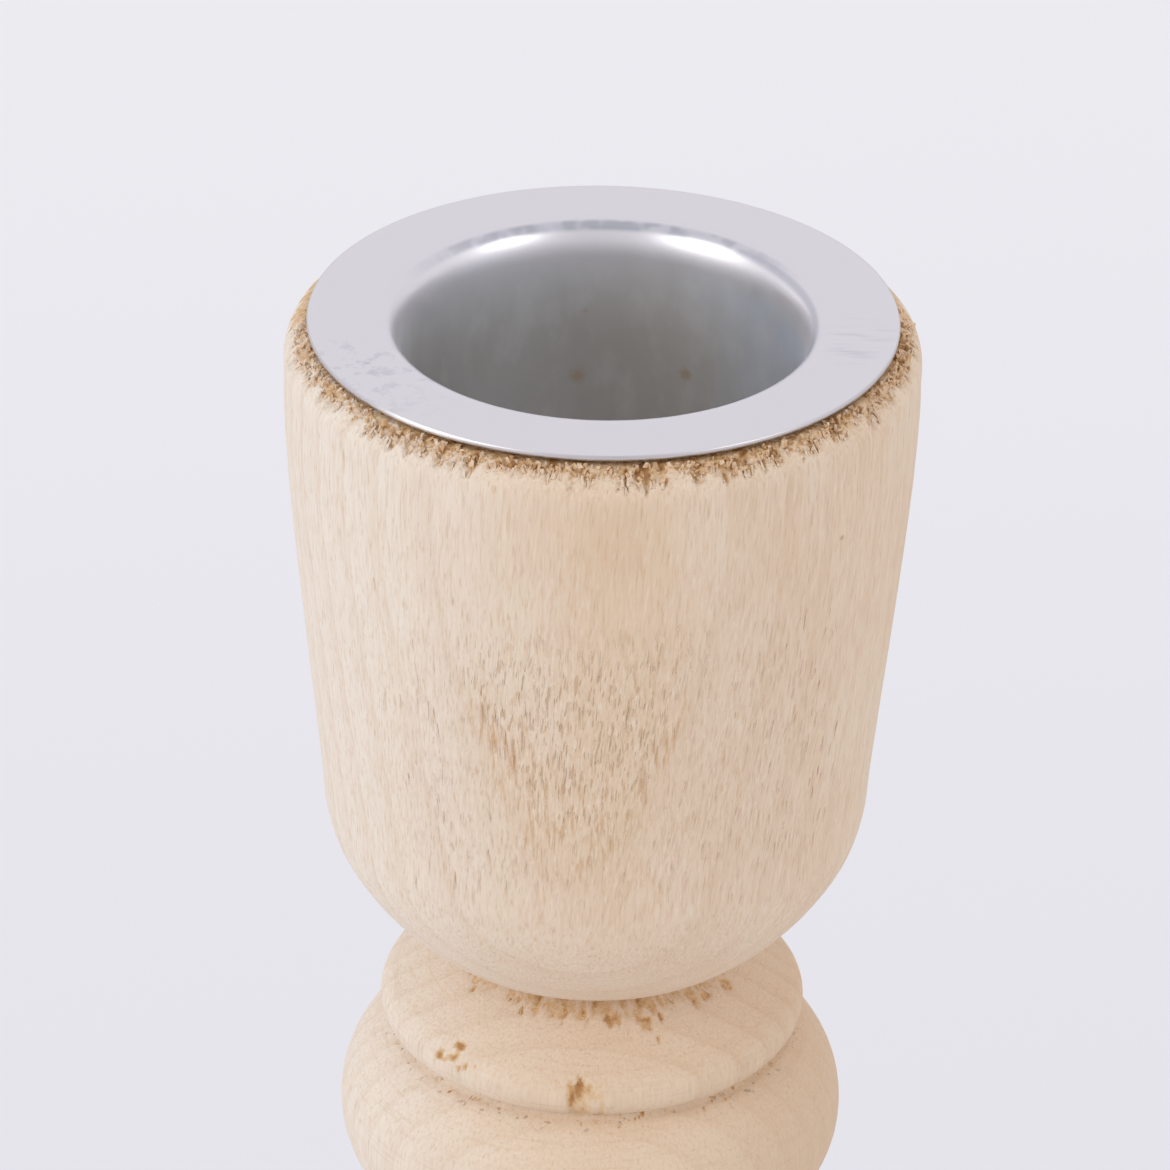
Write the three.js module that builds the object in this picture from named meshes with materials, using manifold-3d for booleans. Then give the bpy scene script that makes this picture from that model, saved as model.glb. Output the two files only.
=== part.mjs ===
// A turned wooden candlestick. A foot carries a column whose top is bored out as a cup. A pressed
// aluminium insert hangs in the cup by its flange and takes the candle, and a wood screw under
// the foot draws the column's tenon down into its mortise.
// Millimetres, +Z up. The origin is the centre of the ring that the foot stands on.
import * as THREE from "three";
import { mergeVertices } from "three/addons/utils/BufferGeometryUtils.js";
import Module from "manifold-3d";

const wasm = await Module();
wasm.setup();

// The whole stick, from the table to the wood's rim. The baluster takes up what the other
// sections leave of it.
const STICK_HEIGHT = 149.5;

// Room between pieces
const SEAT_GAP = 0.3; // under the flange, at the glue line and at the screw's head
const INSERT_CLEARANCE = 0.3; // around the insert in its socket
const SOCKET_RELIEF = 1.2; // below the insert's floor
const TENON_CLEARANCE = 0.3; // around the tenon in its mortise
const GLUE_WELL = 0.8; // below the tenon's end
const SCREW_CLEARANCE = 0.3; // around the screw's thread and past its tip

// Candle insert
const CANDLE_BORE = 11.3; // inside radius, for a 22 mm candle
const INSERT_DEPTH = 20; // flange top to floor
const SHEET = 0.4;
const LIP_WIDTH = 1.3; // bend from the flange into the bore, across
const LIP_DROP = 2.1; // the same bend, down
const FLANGE_WIDTH = 3.9; // level part of the flange
const FLOOR_ROUND = 2; // bend from the bore into the floor

// Cup
const RIM_LEDGE = 0.25; // level wood that shows past the flange
const RIM_CHAMFER = 0.75; // broken edge outside it
const CUP_WALL = 29.2; // height of the wall, from its foot to the chamfer
const CUP_TAPER = 2.07; // how much narrower the wall is at its foot
const CUP_SWELL = 1; // outward pull of the wall just below the rim
const CUP_SWELL_DROP = 3.3; // how far below the rim that pull reaches
const CUP_LEAN = 0.09; // slope of the wall at its foot
const CUP_LEAN_REACH = 10.5; // how far up that slope is held
const CUP_FOOT = 8.9; // height of the rounded bottom
const CUP_FOOT_TURN = 3.3; // how far down the wall's slope is held
const CUP_FOOT_FLAT = 2.8; // nearly level wood beside the neck

// Neck, ring and bead below the cup, with a second ring at the column's shoulder
const NECK_RADIUS = 7.4;
const NECK_HEIGHT = 0.2;
const RING_RADIUS = 12.25;
const RING_ROUND = 1.6; // radius of the ring's rounded edge
const RING_SLOPE = THREE.MathUtils.degToRad(34); // fall of the ring's upper face
const GROOVE_DEPTH = 1.05; // groove between ring and bead, below the smaller of them
const BEAD_RADIUS = 14.55;
const BEAD_ROUND = 6.25; // radius of the bead's round section

// Baluster
const FILLET_RADIUS = 9.6;
const FILLET_HEIGHT = 1.3;
const COVE_HEIGHT = 2.7; // hollow under the fillet
const BALUSTER_NECK = 6.9; // radius
const BALUSTER_BELLY = 11.7; // radius
const BALUSTER_ANKLE = 7.8; // radius
const BALUSTER_DROP = 19; // belly to ankle
const BALUSTER_EASE = 0.5; // share of each sweep in which it stays upright

// Tenon
const TENON_RADIUS = 7;
const TENON_LENGTH = 16.5;
const TENON_CHAMFER = 0.8;

// Wood screw
const SCREW_LENGTH = 35;
const SCREW_HEAD = 3.9; // radius of the countersunk head
const SCREW_HEAD_EDGE = 0.4; // upright edge of the head
const SCREW_SHANK = 1.6; // radius of the plain shank
const SCREW_PLAIN = 9; // length of it, from the head's face
const SCREW_CORE = 1.3; // radius under the thread
const THREAD_HEIGHT = 0.65; // crest above the core
const THREAD_PITCH = 1.8;
const THREAD_FOOT = 0.55; // half the thread's width where it leaves the core
const THREAD_ROOT = 0.15; // how far the thread is let into the core
const POINT_LENGTH = 4.5;
const RECESS_REACH = 1.9; // arm of the cross recess, from the centre
const RECESS_WIDTH = 0.9;
const RECESS_DEPTH = 1.6;

// Foot
const FOOT_RADIUS = 35;
const FOOT_EDGE = 9.2; // height of the rounded edge
const FOOT_LEDGE = 1.6; // level ring inside that edge
const FOOT_STEP = 1.1; // upright step inside the ledge
const FOOT_SWEEP = 12.6; // height of the hollow sweep
const COLLAR_HEIGHT = 2.8; // disc that the column stands on
const COLLAR_SHOW = 1.6; // how far it stands out past the column's ring
const COLLAR_ROUND = 1.1;
const COLLAR_UNDERCUT = 0.9; // how far the sweep ends inside it
const DISH_DEPTH = 1.6; // hollow under the foot
const STANDING_WIDTH = 4.5; // level ring that it stands on

// Fineness of round surfaces
const SIDES = 48;
const SCREW_SIDES = 16;
const THREAD_STEPS = 13; // in each turn, so that they miss the core's corners
const CURVE_STEP = 2.5; // longest step along a curve
const FEWEST_STEPS = 4;
const SAME_POINT = 1e-6; // outline points nearer than this are one
const SAME_CORNER = 1e-4; // corners of a mesh nearer than this are one

// Sizes that follow from those above
const insertRadius = CANDLE_BORE + SHEET;
const lipRadius = CANDLE_BORE + LIP_WIDTH;
const flangeRadius = lipRadius + FLANGE_WIDTH;
const socketRadius = insertRadius + INSERT_CLEARANCE;
const socketDepth = INSERT_DEPTH - SEAT_GAP + SOCKET_RELIEF;
const rimRadius = flangeRadius + RIM_LEDGE + RIM_CHAMFER;
const cupFootRadius = rimRadius - CUP_TAPER;
const ringCentre = RING_RADIUS - RING_ROUND;
const grooveRadius = Math.min(RING_RADIUS, BEAD_RADIUS) - GROOVE_DEPTH;
const ringTurn = Math.acos((grooveRadius - ringCentre) / RING_ROUND);
const beadCentre = BEAD_RADIUS - BEAD_ROUND;
const beadTurn = Math.acos((grooveRadius - beadCentre) / BEAD_ROUND);
const screwHole = SCREW_CORE + THREAD_HEIGHT + SCREW_CLEARANCE;
const headHeight = SCREW_HEAD_EDGE + SCREW_HEAD - SCREW_SHANK;
const footHeight = FOOT_EDGE + FOOT_STEP + FOOT_SWEEP + COLLAR_HEIGHT;
const seatHeight = footHeight + SEAT_GAP;
const mortiseRadius = TENON_RADIUS + TENON_CLEARANCE;
const mortiseFloor = seatHeight - TENON_LENGTH - GLUE_WELL;
const pilotTop = DISH_DEPTH + SCREW_LENGTH + SCREW_CLEARANCE - seatHeight;
const columnHeight = STICK_HEIGHT - seatHeight;

// Turning

// The points of an outline: both ends of each straight line, and even steps along each curve.
function outlinePoints(path) {
  const points = [];
  for (const curve of path.curves) {
    const steps = curve.isLineCurve ? 1 : Math.max(FEWEST_STEPS, Math.ceil(curve.getLength() / CURVE_STEP));
    for (const point of curve.getSpacedPoints(steps)) {
      if (!points.length || point.distanceTo(points.at(-1)) > SAME_POINT) points.push(point);
    }
  }
  return points;
}

// The solid that an outline turns about Z. In the outline x is the radius and y the height.
function turned(path, sides = SIDES) {
  return new THREE.LatheGeometry(outlinePoints(path), sides).rotateX(Math.PI / 2);
}

function lineBy(path, outward, upward) {
  const { x, y } = path.currentPoint;
  path.lineTo(x + outward, y + upward);
}

// Cutting and joining

function solidOf(geometry) {
  const bare = geometry.clone();
  bare.deleteAttribute("normal");
  bare.deleteAttribute("uv");
  const merged = mergeVertices(bare, SAME_CORNER);
  return new wasm.Manifold(
    new wasm.Mesh({
      numProp: 3,
      vertProperties: new Float32Array(merged.attributes.position.array),
      triVerts: new Uint32Array(merged.index.array),
    }),
  );
}

function geometryOf(solid) {
  const mesh = solid.getMesh();
  const geometry = new THREE.BufferGeometry();
  geometry.setAttribute("position", new THREE.BufferAttribute(mesh.vertProperties, 3));
  geometry.setIndex(new THREE.BufferAttribute(mesh.triVerts, 1));
  geometry.computeVertexNormals();
  return geometry;
}

// Candle insert, with the underside of its flange at height 0

function insertGeometry() {
  const floor = SHEET - INSERT_DEPTH;
  const bendHeight = SHEET - LIP_DROP;
  const floorBend = CANDLE_BORE - FLOOR_ROUND;
  const path = new THREE.Path();
  path.moveTo(0, floor - SHEET);
  path.lineTo(floorBend, floor - SHEET);
  path.absarc(floorBend, floor + FLOOR_ROUND, FLOOR_ROUND + SHEET, -Math.PI / 2, 0, false);
  path.lineTo(insertRadius, bendHeight);
  path.absellipse(
    lipRadius,
    bendHeight,
    LIP_WIDTH - SHEET,
    LIP_DROP - SHEET,
    Math.PI,
    Math.PI / 2,
    true,
    0,
  );
  path.lineTo(flangeRadius, 0);
  path.lineTo(flangeRadius, SHEET);
  path.lineTo(lipRadius, SHEET);
  path.absellipse(lipRadius, bendHeight, LIP_WIDTH, LIP_DROP, Math.PI / 2, Math.PI, false, 0);
  path.lineTo(CANDLE_BORE, floor + FLOOR_ROUND);
  path.absarc(floorBend, floor + FLOOR_ROUND, FLOOR_ROUND, 0, -Math.PI / 2, true);
  path.lineTo(0, floor);
  return turned(path);
}

// Column, with its shoulder at height 0. Each section goes on from where the outline stands.

function addPilotAndTenon(path) {
  path.moveTo(0, pilotTop);
  path.lineTo(screwHole, pilotTop - screwHole);
  path.lineTo(screwHole, -TENON_LENGTH);
  path.lineTo(TENON_RADIUS - TENON_CHAMFER, -TENON_LENGTH);
  lineBy(path, TENON_CHAMFER, TENON_CHAMFER);
  path.lineTo(TENON_RADIUS, 0);
  path.lineTo(grooveRadius, 0);
}

// A ring that rises from the groove's radius, with its upper face sloping in to topRadius.
function addRing(path, topRadius) {
  const middle = path.currentPoint.y + RING_ROUND * Math.sin(ringTurn);
  path.absarc(ringCentre, middle, RING_ROUND, -ringTurn, Math.PI / 2 - RING_SLOPE, false);
  const inward = path.currentPoint.x - topRadius;
  lineBy(path, -inward, inward * Math.tan(RING_SLOPE));
}

function addHollowAndFillet(path) {
  const hollow = FILLET_RADIUS - BALUSTER_NECK;
  path.absellipse(FILLET_RADIUS, path.currentPoint.y, hollow, COVE_HEIGHT, Math.PI, Math.PI / 2, true, 0);
  lineBy(path, 0, FILLET_HEIGHT);
}

function addBead(path) {
  path.lineTo(grooveRadius, path.currentPoint.y);
  const middle = path.currentPoint.y + BEAD_ROUND * Math.sin(beadTurn);
  path.absarc(beadCentre, middle, BEAD_ROUND, -beadTurn, beadTurn, false);
}

function addCup(path) {
  lineBy(path, 0, NECK_HEIGHT);
  const bottom = path.currentPoint.y;
  const wallFoot = bottom + CUP_FOOT;
  const wallTop = wallFoot + CUP_WALL;
  path.bezierCurveTo(
    NECK_RADIUS + CUP_FOOT_FLAT,
    bottom,
    cupFootRadius - CUP_LEAN * CUP_FOOT_TURN,
    wallFoot - CUP_FOOT_TURN,
    cupFootRadius,
    wallFoot,
  );
  path.bezierCurveTo(
    cupFootRadius + CUP_LEAN * CUP_LEAN_REACH,
    wallFoot + CUP_LEAN_REACH,
    rimRadius + CUP_SWELL,
    wallTop - CUP_SWELL_DROP,
    rimRadius,
    wallTop,
  );
  lineBy(path, -RIM_CHAMFER, RIM_CHAMFER);
}

// The stretch from the baluster's neck to the wood's rim.
function addUpperPart(path) {
  addHollowAndFillet(path);
  addBead(path);
  addRing(path, NECK_RADIUS);
  addCup(path);
}

function upperPartHeight() {
  const trial = new THREE.Path();
  trial.moveTo(BALUSTER_NECK, 0);
  addUpperPart(trial);
  return trial.currentPoint.y;
}

// A sweep to another radius that leaves and arrives upright.
function addSweep(path, radius, rise) {
  const { x, y } = path.currentPoint;
  const upright = rise * BALUSTER_EASE;
  path.bezierCurveTo(x, y + upright, radius, y + rise - upright, radius, y + rise);
}

// The socket's mouth is broken back to the lip's radius, to clear the bend under the flange.
function addSocket(path) {
  const top = path.currentPoint.y;
  path.lineTo(lipRadius, top);
  path.lineTo(socketRadius, top - LIP_DROP);
  path.lineTo(socketRadius, top - socketDepth);
  path.lineTo(0, top - socketDepth);
}

function columnGeometry() {
  const path = new THREE.Path();
  addPilotAndTenon(path);
  addRing(path, BALUSTER_ANKLE);
  addSweep(path, BALUSTER_BELLY, BALUSTER_DROP);
  const neckHeight = columnHeight - upperPartHeight();
  addSweep(path, BALUSTER_NECK, neckHeight - path.currentPoint.y);
  addUpperPart(path);
  addSocket(path);
  return turned(path);
}

// Foot, standing on height 0

function footGeometry() {
  const edgeRound = FOOT_EDGE / 2;
  const edgeCentre = FOOT_RADIUS - edgeRound;
  const dishEdge = edgeCentre - STANDING_WIDTH;
  const stepRadius = edgeCentre - FOOT_LEDGE;
  const stepTop = FOOT_EDGE + FOOT_STEP;
  const collarRadius = RING_RADIUS + COLLAR_SHOW;
  const sweepRadius = collarRadius - COLLAR_UNDERCUT;
  const sinkRadius = SCREW_HEAD + SEAT_GAP;
  const sinkTop = DISH_DEPTH + SCREW_HEAD_EDGE + SEAT_GAP * Math.SQRT2 + SCREW_HEAD - screwHole;
  const sinkEdge = sinkTop - (sinkRadius - screwHole);
  const path = new THREE.Path();
  path.moveTo(sinkRadius, DISH_DEPTH);
  path.lineTo(dishEdge - DISH_DEPTH, DISH_DEPTH);
  path.lineTo(dishEdge, 0);
  path.lineTo(edgeCentre, 0);
  path.absarc(edgeCentre, edgeRound, edgeRound, -Math.PI / 2, Math.PI / 2, false);
  path.lineTo(stepRadius, FOOT_EDGE);
  path.lineTo(stepRadius, stepTop);
  path.absellipse(
    stepRadius,
    stepTop + FOOT_SWEEP,
    stepRadius - sweepRadius,
    FOOT_SWEEP,
    -Math.PI / 2,
    -Math.PI,
    true,
    0,
  );
  path.lineTo(collarRadius, stepTop + FOOT_SWEEP);
  path.lineTo(collarRadius, footHeight - COLLAR_ROUND);
  path.absarc(collarRadius - COLLAR_ROUND, footHeight - COLLAR_ROUND, COLLAR_ROUND, 0, Math.PI / 2, false);
  path.lineTo(mortiseRadius, footHeight);
  path.lineTo(mortiseRadius, mortiseFloor);
  path.lineTo(screwHole, mortiseFloor);
  path.lineTo(screwHole, sinkTop);
  path.lineTo(sinkRadius, sinkEdge);
  path.lineTo(sinkRadius, DISH_DEPTH);
  return turned(path);
}

// Wood screw, with its head's face at height 0 and its point upwards

function screwBody() {
  const path = new THREE.Path();
  path.moveTo(0, 0);
  path.lineTo(SCREW_HEAD, 0);
  path.lineTo(SCREW_HEAD, SCREW_HEAD_EDGE);
  path.lineTo(SCREW_SHANK, headHeight);
  path.lineTo(SCREW_SHANK, SCREW_PLAIN);
  path.lineTo(SCREW_CORE, SCREW_PLAIN + SCREW_SHANK - SCREW_CORE);
  path.lineTo(SCREW_CORE, SCREW_LENGTH - POINT_LENGTH);
  path.lineTo(0, SCREW_LENGTH);
  return solidOf(turned(path, SCREW_SIDES));
}

// A ridge of triangular section that winds up the core. It rises out of the core in its first
// turn and sinks back into it in its last one.
function screwThread() {
  const start = SCREW_PLAIN + THREAD_PITCH;
  const turns = (SCREW_LENGTH - POINT_LENGTH - start) / THREAD_PITCH;
  const steps = Math.ceil(turns * THREAD_STEPS);
  const root = SCREW_CORE - THREAD_ROOT;
  const positions = [];
  for (let step = 0; step <= steps; step += 1) {
    const turn = (turns * step) / steps;
    const angle = turn * 2 * Math.PI;
    const height = start + turn * THREAD_PITCH;
    const out = Math.min(1, turn, turns - turn);
    const crest = root + THREAD_ROOT / 2 + (THREAD_HEIGHT + THREAD_ROOT / 2) * out;
    for (const [radius, rise] of [[root, -THREAD_FOOT], [crest, 0], [root, THREAD_FOOT]]) {
      positions.push(radius * Math.cos(angle), radius * Math.sin(angle), height + rise);
    }
  }
  const last = 3 * steps;
  const index = [0, 1, 2, last, last + 2, last + 1];
  for (let ring = 0; ring < last; ring += 3) {
    for (let side = 0; side < 3; side += 1) {
      const near = ring + side;
      const next = ring + ((side + 1) % 3);
      index.push(near, next + 3, next, near, near + 3, next + 3);
    }
  }
  const geometry = new THREE.BufferGeometry();
  geometry.setAttribute("position", new THREE.Float32BufferAttribute(positions, 3));
  geometry.setIndex(index);
  return solidOf(geometry);
}

function screwGeometry() {
  const arm = () => new THREE.BoxGeometry(2 * RECESS_REACH, RECESS_WIDTH, 2 * RECESS_DEPTH);
  const cross = solidOf(arm()).add(solidOf(arm().rotateZ(Math.PI / 2)));
  return geometryOf(screwBody().add(screwThread()).subtract(cross));
}

// Assembly

function piece(name, geometry, material, height) {
  const mesh = new THREE.Mesh(geometry, material);
  mesh.name = name;
  mesh.position.z = height;
  return mesh;
}

const rawWood = new THREE.MeshStandardMaterial({ color: 0xe3cfb4, roughness: 0.85, metalness: 0 });
const aluminium = new THREE.MeshStandardMaterial({ color: 0xc4c5c8, roughness: 0.38, metalness: 1 });
const platedSteel = new THREE.MeshStandardMaterial({ color: 0xb3b0a6, roughness: 0.45, metalness: 1 });

const standing = new THREE.Group();
standing.position.z = seatHeight;
standing.add(piece("column", columnGeometry(), rawWood, 0));
standing.add(piece("candle_insert", insertGeometry(), aluminium, columnHeight + SEAT_GAP));

const candlestick = new THREE.Group();
candlestick.add(piece("base", footGeometry(), rawWood, 0));
candlestick.add(piece("base_screw", screwGeometry(), platedSteel, DISH_DEPTH));
candlestick.add(standing);

export default candlestick;
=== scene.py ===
# %% [markdown]
# # A raw turned candlestick
# The object is a candlestick of raw wood, straight from the lathe: a turned column with a cup, a ring and a
# bead, a round foot, and a pressed aluminium insert that holds the candle. Its construction is already
# modelled at real size and packed as a frame. This lesson dresses that frame. It turns fine meshes from the
# packed outlines, tears and splinters the wood as a fast lathe tool does, and gives each surface its finish.

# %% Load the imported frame
import math
import random
from collections import namedtuple

import bmesh
import bpy
from mathutils import Matrix, Vector, noise


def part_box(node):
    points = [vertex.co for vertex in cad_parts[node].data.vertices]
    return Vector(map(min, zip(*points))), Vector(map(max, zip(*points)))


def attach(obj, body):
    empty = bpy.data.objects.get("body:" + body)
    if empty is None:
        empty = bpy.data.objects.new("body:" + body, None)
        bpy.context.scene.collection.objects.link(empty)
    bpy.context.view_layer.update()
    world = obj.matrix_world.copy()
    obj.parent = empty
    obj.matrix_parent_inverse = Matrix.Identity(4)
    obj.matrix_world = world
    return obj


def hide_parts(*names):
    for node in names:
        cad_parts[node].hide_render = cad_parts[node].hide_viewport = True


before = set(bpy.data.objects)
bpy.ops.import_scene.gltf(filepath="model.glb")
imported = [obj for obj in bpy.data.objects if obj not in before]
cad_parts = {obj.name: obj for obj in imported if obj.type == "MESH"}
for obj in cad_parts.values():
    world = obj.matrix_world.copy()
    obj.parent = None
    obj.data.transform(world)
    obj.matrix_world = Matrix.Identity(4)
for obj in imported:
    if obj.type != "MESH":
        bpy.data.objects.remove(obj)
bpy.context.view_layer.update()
MM = 0.001
SEAT_GAP = 0.3 * MM
rim_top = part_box("column")[1].z
flange_under = rim_top + SEAT_GAP
flange_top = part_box("candle_insert")[1].z
print("nodes:", sorted(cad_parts), "rim at", round(rim_top / MM, 2), "mm")

# %% [markdown]
# ## The camera
# The picture is a close-up of the top of the stick from a little above. The same framing could come from a
# short lens close by or from a long one further off, but the ellipses of the flange, the lip, the ring and
# the bead only fit one of them: a long lens, 461 mm away from the flange's centre. A camera set up first lets
# every later step be checked against the picture.

# %% Camera
PHOTO_LENS = 255.38
SENSOR_WIDTH = 36
CAMERA_BACK = 410.65 * MM
CAMERA_UP = 210.14 * MM
CAMERA_PAN = math.radians(0.11)
CAMERA_PITCH = math.radians(61.042)
CAMERA_ROLL = math.radians(0.93)
NEAREST = 0.01

camera_data = bpy.data.cameras.new("photo_camera")
camera_data.lens = PHOTO_LENS
camera_data.sensor_width = SENSOR_WIDTH
camera_data.clip_start = NEAREST
camera = bpy.data.objects.new("photo_camera", camera_data)
camera.matrix_world = (
    Matrix.Translation((0, -CAMERA_BACK, flange_top + CAMERA_UP))
    @ Matrix.Rotation(CAMERA_PAN, 4, "Z")
    @ Matrix.Rotation(CAMERA_PITCH, 4, "X")
    @ Matrix.Rotation(CAMERA_ROLL, 4, "Z")
)
bpy.context.collection.objects.link(camera)
bpy.context.scene.camera = camera
print("camera", round(camera.location.length / MM), "mm from the origin")

# %% [markdown]
# ## Outlines from the frame
# Column, foot and insert are all bodies of revolution, so each is one outline spun round the axis. The
# outlines could be typed in again, but then they could drift from the construction. Instead each is read
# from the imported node: the points in the half plane that faces the camera, walked from neighbour to
# neighbour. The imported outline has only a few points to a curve, so a smooth curve is run through them.
# A sharp turn is a real corner and stays, only eased a little, as no edge on a real object is a knife edge.

# %% Read a turned node's outline
TOUCH = 1e-6


def outline_of(node):
    """The node's outline as (radius, height) points in order, and whether it closes on itself."""
    bm = bmesh.new()
    bm.from_mesh(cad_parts[node].data)
    bmesh.ops.remove_doubles(bm, verts=bm.verts, dist=TOUCH)
    in_plane = {v for v in bm.verts if abs(v.co.x) < TOUCH and v.co.y < TOUCH}
    neighbours = {v: [] for v in in_plane}
    for edge in bm.edges:
        if in_plane.issuperset(edge.verts):
            for vert in edge.verts:
                neighbours[vert].append(edge.other_vert(vert))
    ends = [v for v in in_plane if len(neighbours[v]) == 1]
    start = min(ends or in_plane, key=lambda v: (v.co.z, v.co.y))
    path = [start]
    while True:
        onward = [v for v in neighbours[path[-1]] if v not in path[-2:]]
        if not onward or onward[0] is start:
            break
        path.append(onward[0])
    points = [Vector((-v.co.y, v.co.z)) for v in path]
    bm.free()
    return points, not ends


outlines = {node: outline_of(node) for node in ("column", "base", "candle_insert")}
for node, (points, closed) in outlines.items():
    print(node, len(points), "outline points,", "closed" if closed else "open")

# %% Smooth an outline
CORNER = math.radians(40)
LONGEST_STEP = 2.6 * MM
EASE_SHARE = 0.4


def smooth_outline(node, ease, row):
    """Runs a curve through the outline's points. ease rounds its corners, row(point) spaces its rows."""
    points, closed = outlines[node]
    count = len(points)
    last = count if closed else count - 1
    edges = [points[(i + 1) % count] - points[i] for i in range(last)]
    inner = range(count) if closed else range(1, count - 1)
    corners = {i for i in inner if edges[i - 1].angle(edges[i]) > CORNER}
    stops = corners.union([] if closed else [0, count - 1])

    def straight(i):
        return edges[i].length > LONGEST_STEP or (i in stops and (i + 1) % count in stops)

    def tangent(i, edge):
        if i in stops or straight(edge):
            return edges[edge].normalized()
        before, after = i - 1, i
        for side in (before, after):
            if straight(side):
                return edges[side].normalized()
        a, b = edges[before], edges[after]
        return (a.normalized() * b.length + b.normalized() * a.length).normalized()

    def along(i, t):
        a, b = points[i], points[(i + 1) % count]
        length = edges[i].length
        out, into = tangent(i, i) * length, tangent((i + 1) % count, i) * length
        rest = 1 - t
        return (
            a * (rest * rest * (1 + 2 * t))
            + b * (t * t * (3 - 2 * t))
            + out * (t * rest * rest)
            - into * (t * t * rest)
        )

    smooth = []
    for i in range(last):
        length = edges[i].length
        cut = min(ease / length, EASE_SHARE)
        first = cut if i in corners else 0
        final = 1 - cut if (i + 1) % count in corners else 1
        if i in corners:
            came_from = smooth[-1] if smooth else along(i - 1, 1 - cut)
            chord = came_from.lerp(along(i, first), 0.5)
            smooth.append(chord.lerp(points[i], 0.5))
        steps = max(1, math.ceil(length * (final - first) / row(along(i, (first + final) / 2))))
        begin = 0 if i in corners or not smooth else 1
        smooth.extend(along(i, first + (final - first) * k / steps) for k in range(begin, steps + 1))
    return smooth[:-1] if closed and 0 not in corners else smooth


print("turns over", round(math.degrees(CORNER)), "degrees stay corners")

# %% Spin an outline, and make a piece of it
pieces = {}


def turn_on_lathe(outline, closed, segments):
    """Spins an outline of (radius, height) points round the axis into a closed bmesh."""
    bm = bmesh.new()
    verts = [bm.verts.new((0, -p.x, p.y)) for p in outline]
    ring = verts[1:] + verts[:1] if closed else verts[1:]
    edges = [bm.edges.new(pair) for pair in zip(verts, ring)]
    bmesh.ops.spin(
        bm,
        geom=verts + edges,
        cent=(0, 0, 0),
        axis=(0, 0, 1),
        angle=2 * math.pi,
        steps=segments,
        use_merge=True,
    )
    bmesh.ops.remove_doubles(bm, verts=bm.verts, dist=TOUCH)
    bmesh.ops.recalc_face_normals(bm, faces=bm.faces)
    return bm


def add_piece(name, bm, body, replaces=None, smooth=True):
    """Makes the bmesh an object that moves with a body of the frame."""
    mesh = bpy.data.meshes.new(name)
    bm.to_mesh(mesh)
    bm.free()
    if smooth:
        mesh.shade_smooth()
    piece = bpy.data.objects.new(name, mesh)
    bpy.context.collection.objects.link(piece)
    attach(piece, body)
    if replaces:
        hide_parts(replaces)
    pieces[name] = piece
    triangles = sum(len(p.vertices) - 2 for p in mesh.polygons)
    print(name, triangles, "triangles")


print("pieces so far:", len(pieces))

# %% [markdown]
# ## The column
# The column is one piece of wood, turned between centres. The photo shows its upper part from so near that
# torn fibres and chips show, so the rows lie close together there and far apart on the plain lower part.
# The wear could be left to bump in the material, but then the edges would stay perfectly round and clean.
# So the vertices themselves move: each tear is an oval patch on the surface that is pushed in with a ragged
# edge, and a "torn" attribute remembers how brown it is, for the colour. The same attribute also holds
# painted shade under the flange, in the V under the cup's foot and along the groove.

# %% Rows and spin of the column
COLUMN_SEGMENTS = 176
WOOD_EASE = 0.18 * MM
RIM_ROW = 0.14 * MM
RING_ROW = 0.22 * MM
CUP_ROW = 0.7 * MM
PLAIN_ROW = 1.6 * MM
RIM_BAND = 2.4 * MM
RING_BAND = (38.7 * MM, 46.2 * MM)
SHOWN_DROP = 62 * MM
SOCKET_REACH = 13 * MM
SOCKET_DROP = 30 * MM
UNDER_FLANGE = 15.5 * MM
RIM_CUTS = 3
RING_CUTS = 2


def in_socket(radius, drop):
    return radius < SOCKET_REACH and drop < SOCKET_DROP


def column_row(point):
    drop = rim_top - point.y
    if in_socket(point.x, drop) or drop > SHOWN_DROP:
        return PLAIN_ROW
    if drop < RIM_BAND:
        return RIM_ROW
    return RING_ROW if RING_BAND[0] < drop < RING_BAND[1] else CUP_ROW


def refine_band(bm, lowest_drop, highest_drop, least_radius, cuts):
    """Cuts the rings of a band of the column into shorter edges, so that fine tears fit on them."""
    rings = []
    for edge in bm.edges:
        a, b = (vert.co for vert in edge.verts)
        drop, radius = rim_top - a.z, math.hypot(a.x, a.y)
        on_ring = abs(a.z - b.z) < TOUCH and abs(radius - math.hypot(b.x, b.y)) < TOUCH
        if on_ring and lowest_drop <= drop <= highest_drop and radius > least_radius:
            rings.append(edge)
    bmesh.ops.subdivide_edges(bm, edges=rings, cuts=cuts, use_grid_fill=True)


column_outline = smooth_outline("column", WOOD_EASE, column_row)
column_bm = turn_on_lathe(column_outline, False, COLUMN_SEGMENTS)
refine_band(column_bm, -TOUCH, RIM_BAND, UNDER_FLANGE, RIM_CUTS)
refine_band(column_bm, *RING_BAND, TOUCH, RING_CUTS)
print("column", len(column_outline), "rows,", len(column_bm.verts), "vertices")

# %% A point on the column's outside
THINNEST = 6 * MM
SAMPLE_DROP = 10 * MM

outer_rows = [p for p in column_outline if not in_socket(p.x, rim_top - p.y) and p.x > THINNEST]
outer_rows = outer_rows[: outer_rows.index(max(outer_rows, key=lambda p: (round(p.y / TOUCH), p.x))) + 1]


def surface_point(angle, drop):
    """The point of the outside at an angle from the front, in degrees, and a drop below the rim."""
    height = rim_top - drop
    above = next(i for i in range(len(outer_rows) - 1, 0, -1) if outer_rows[i - 1].y <= height)
    low, high = outer_rows[above - 1], outer_rows[above]
    share = (height - low.y) / max(high.y - low.y, TOUCH)
    radius = low.x + (high.x - low.x) * min(share, 1)
    turn = math.radians(angle)
    return Vector((radius * math.sin(turn), -radius * math.cos(turn), height))


def angle_of(co):
    """The angle of a point from the front, in degrees, to the right."""
    return math.degrees(math.atan2(co.x, -co.y))


def out_at(co):
    """The level direction from the axis to a point."""
    return Vector((co.x, co.y, 0)).normalized()


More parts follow.
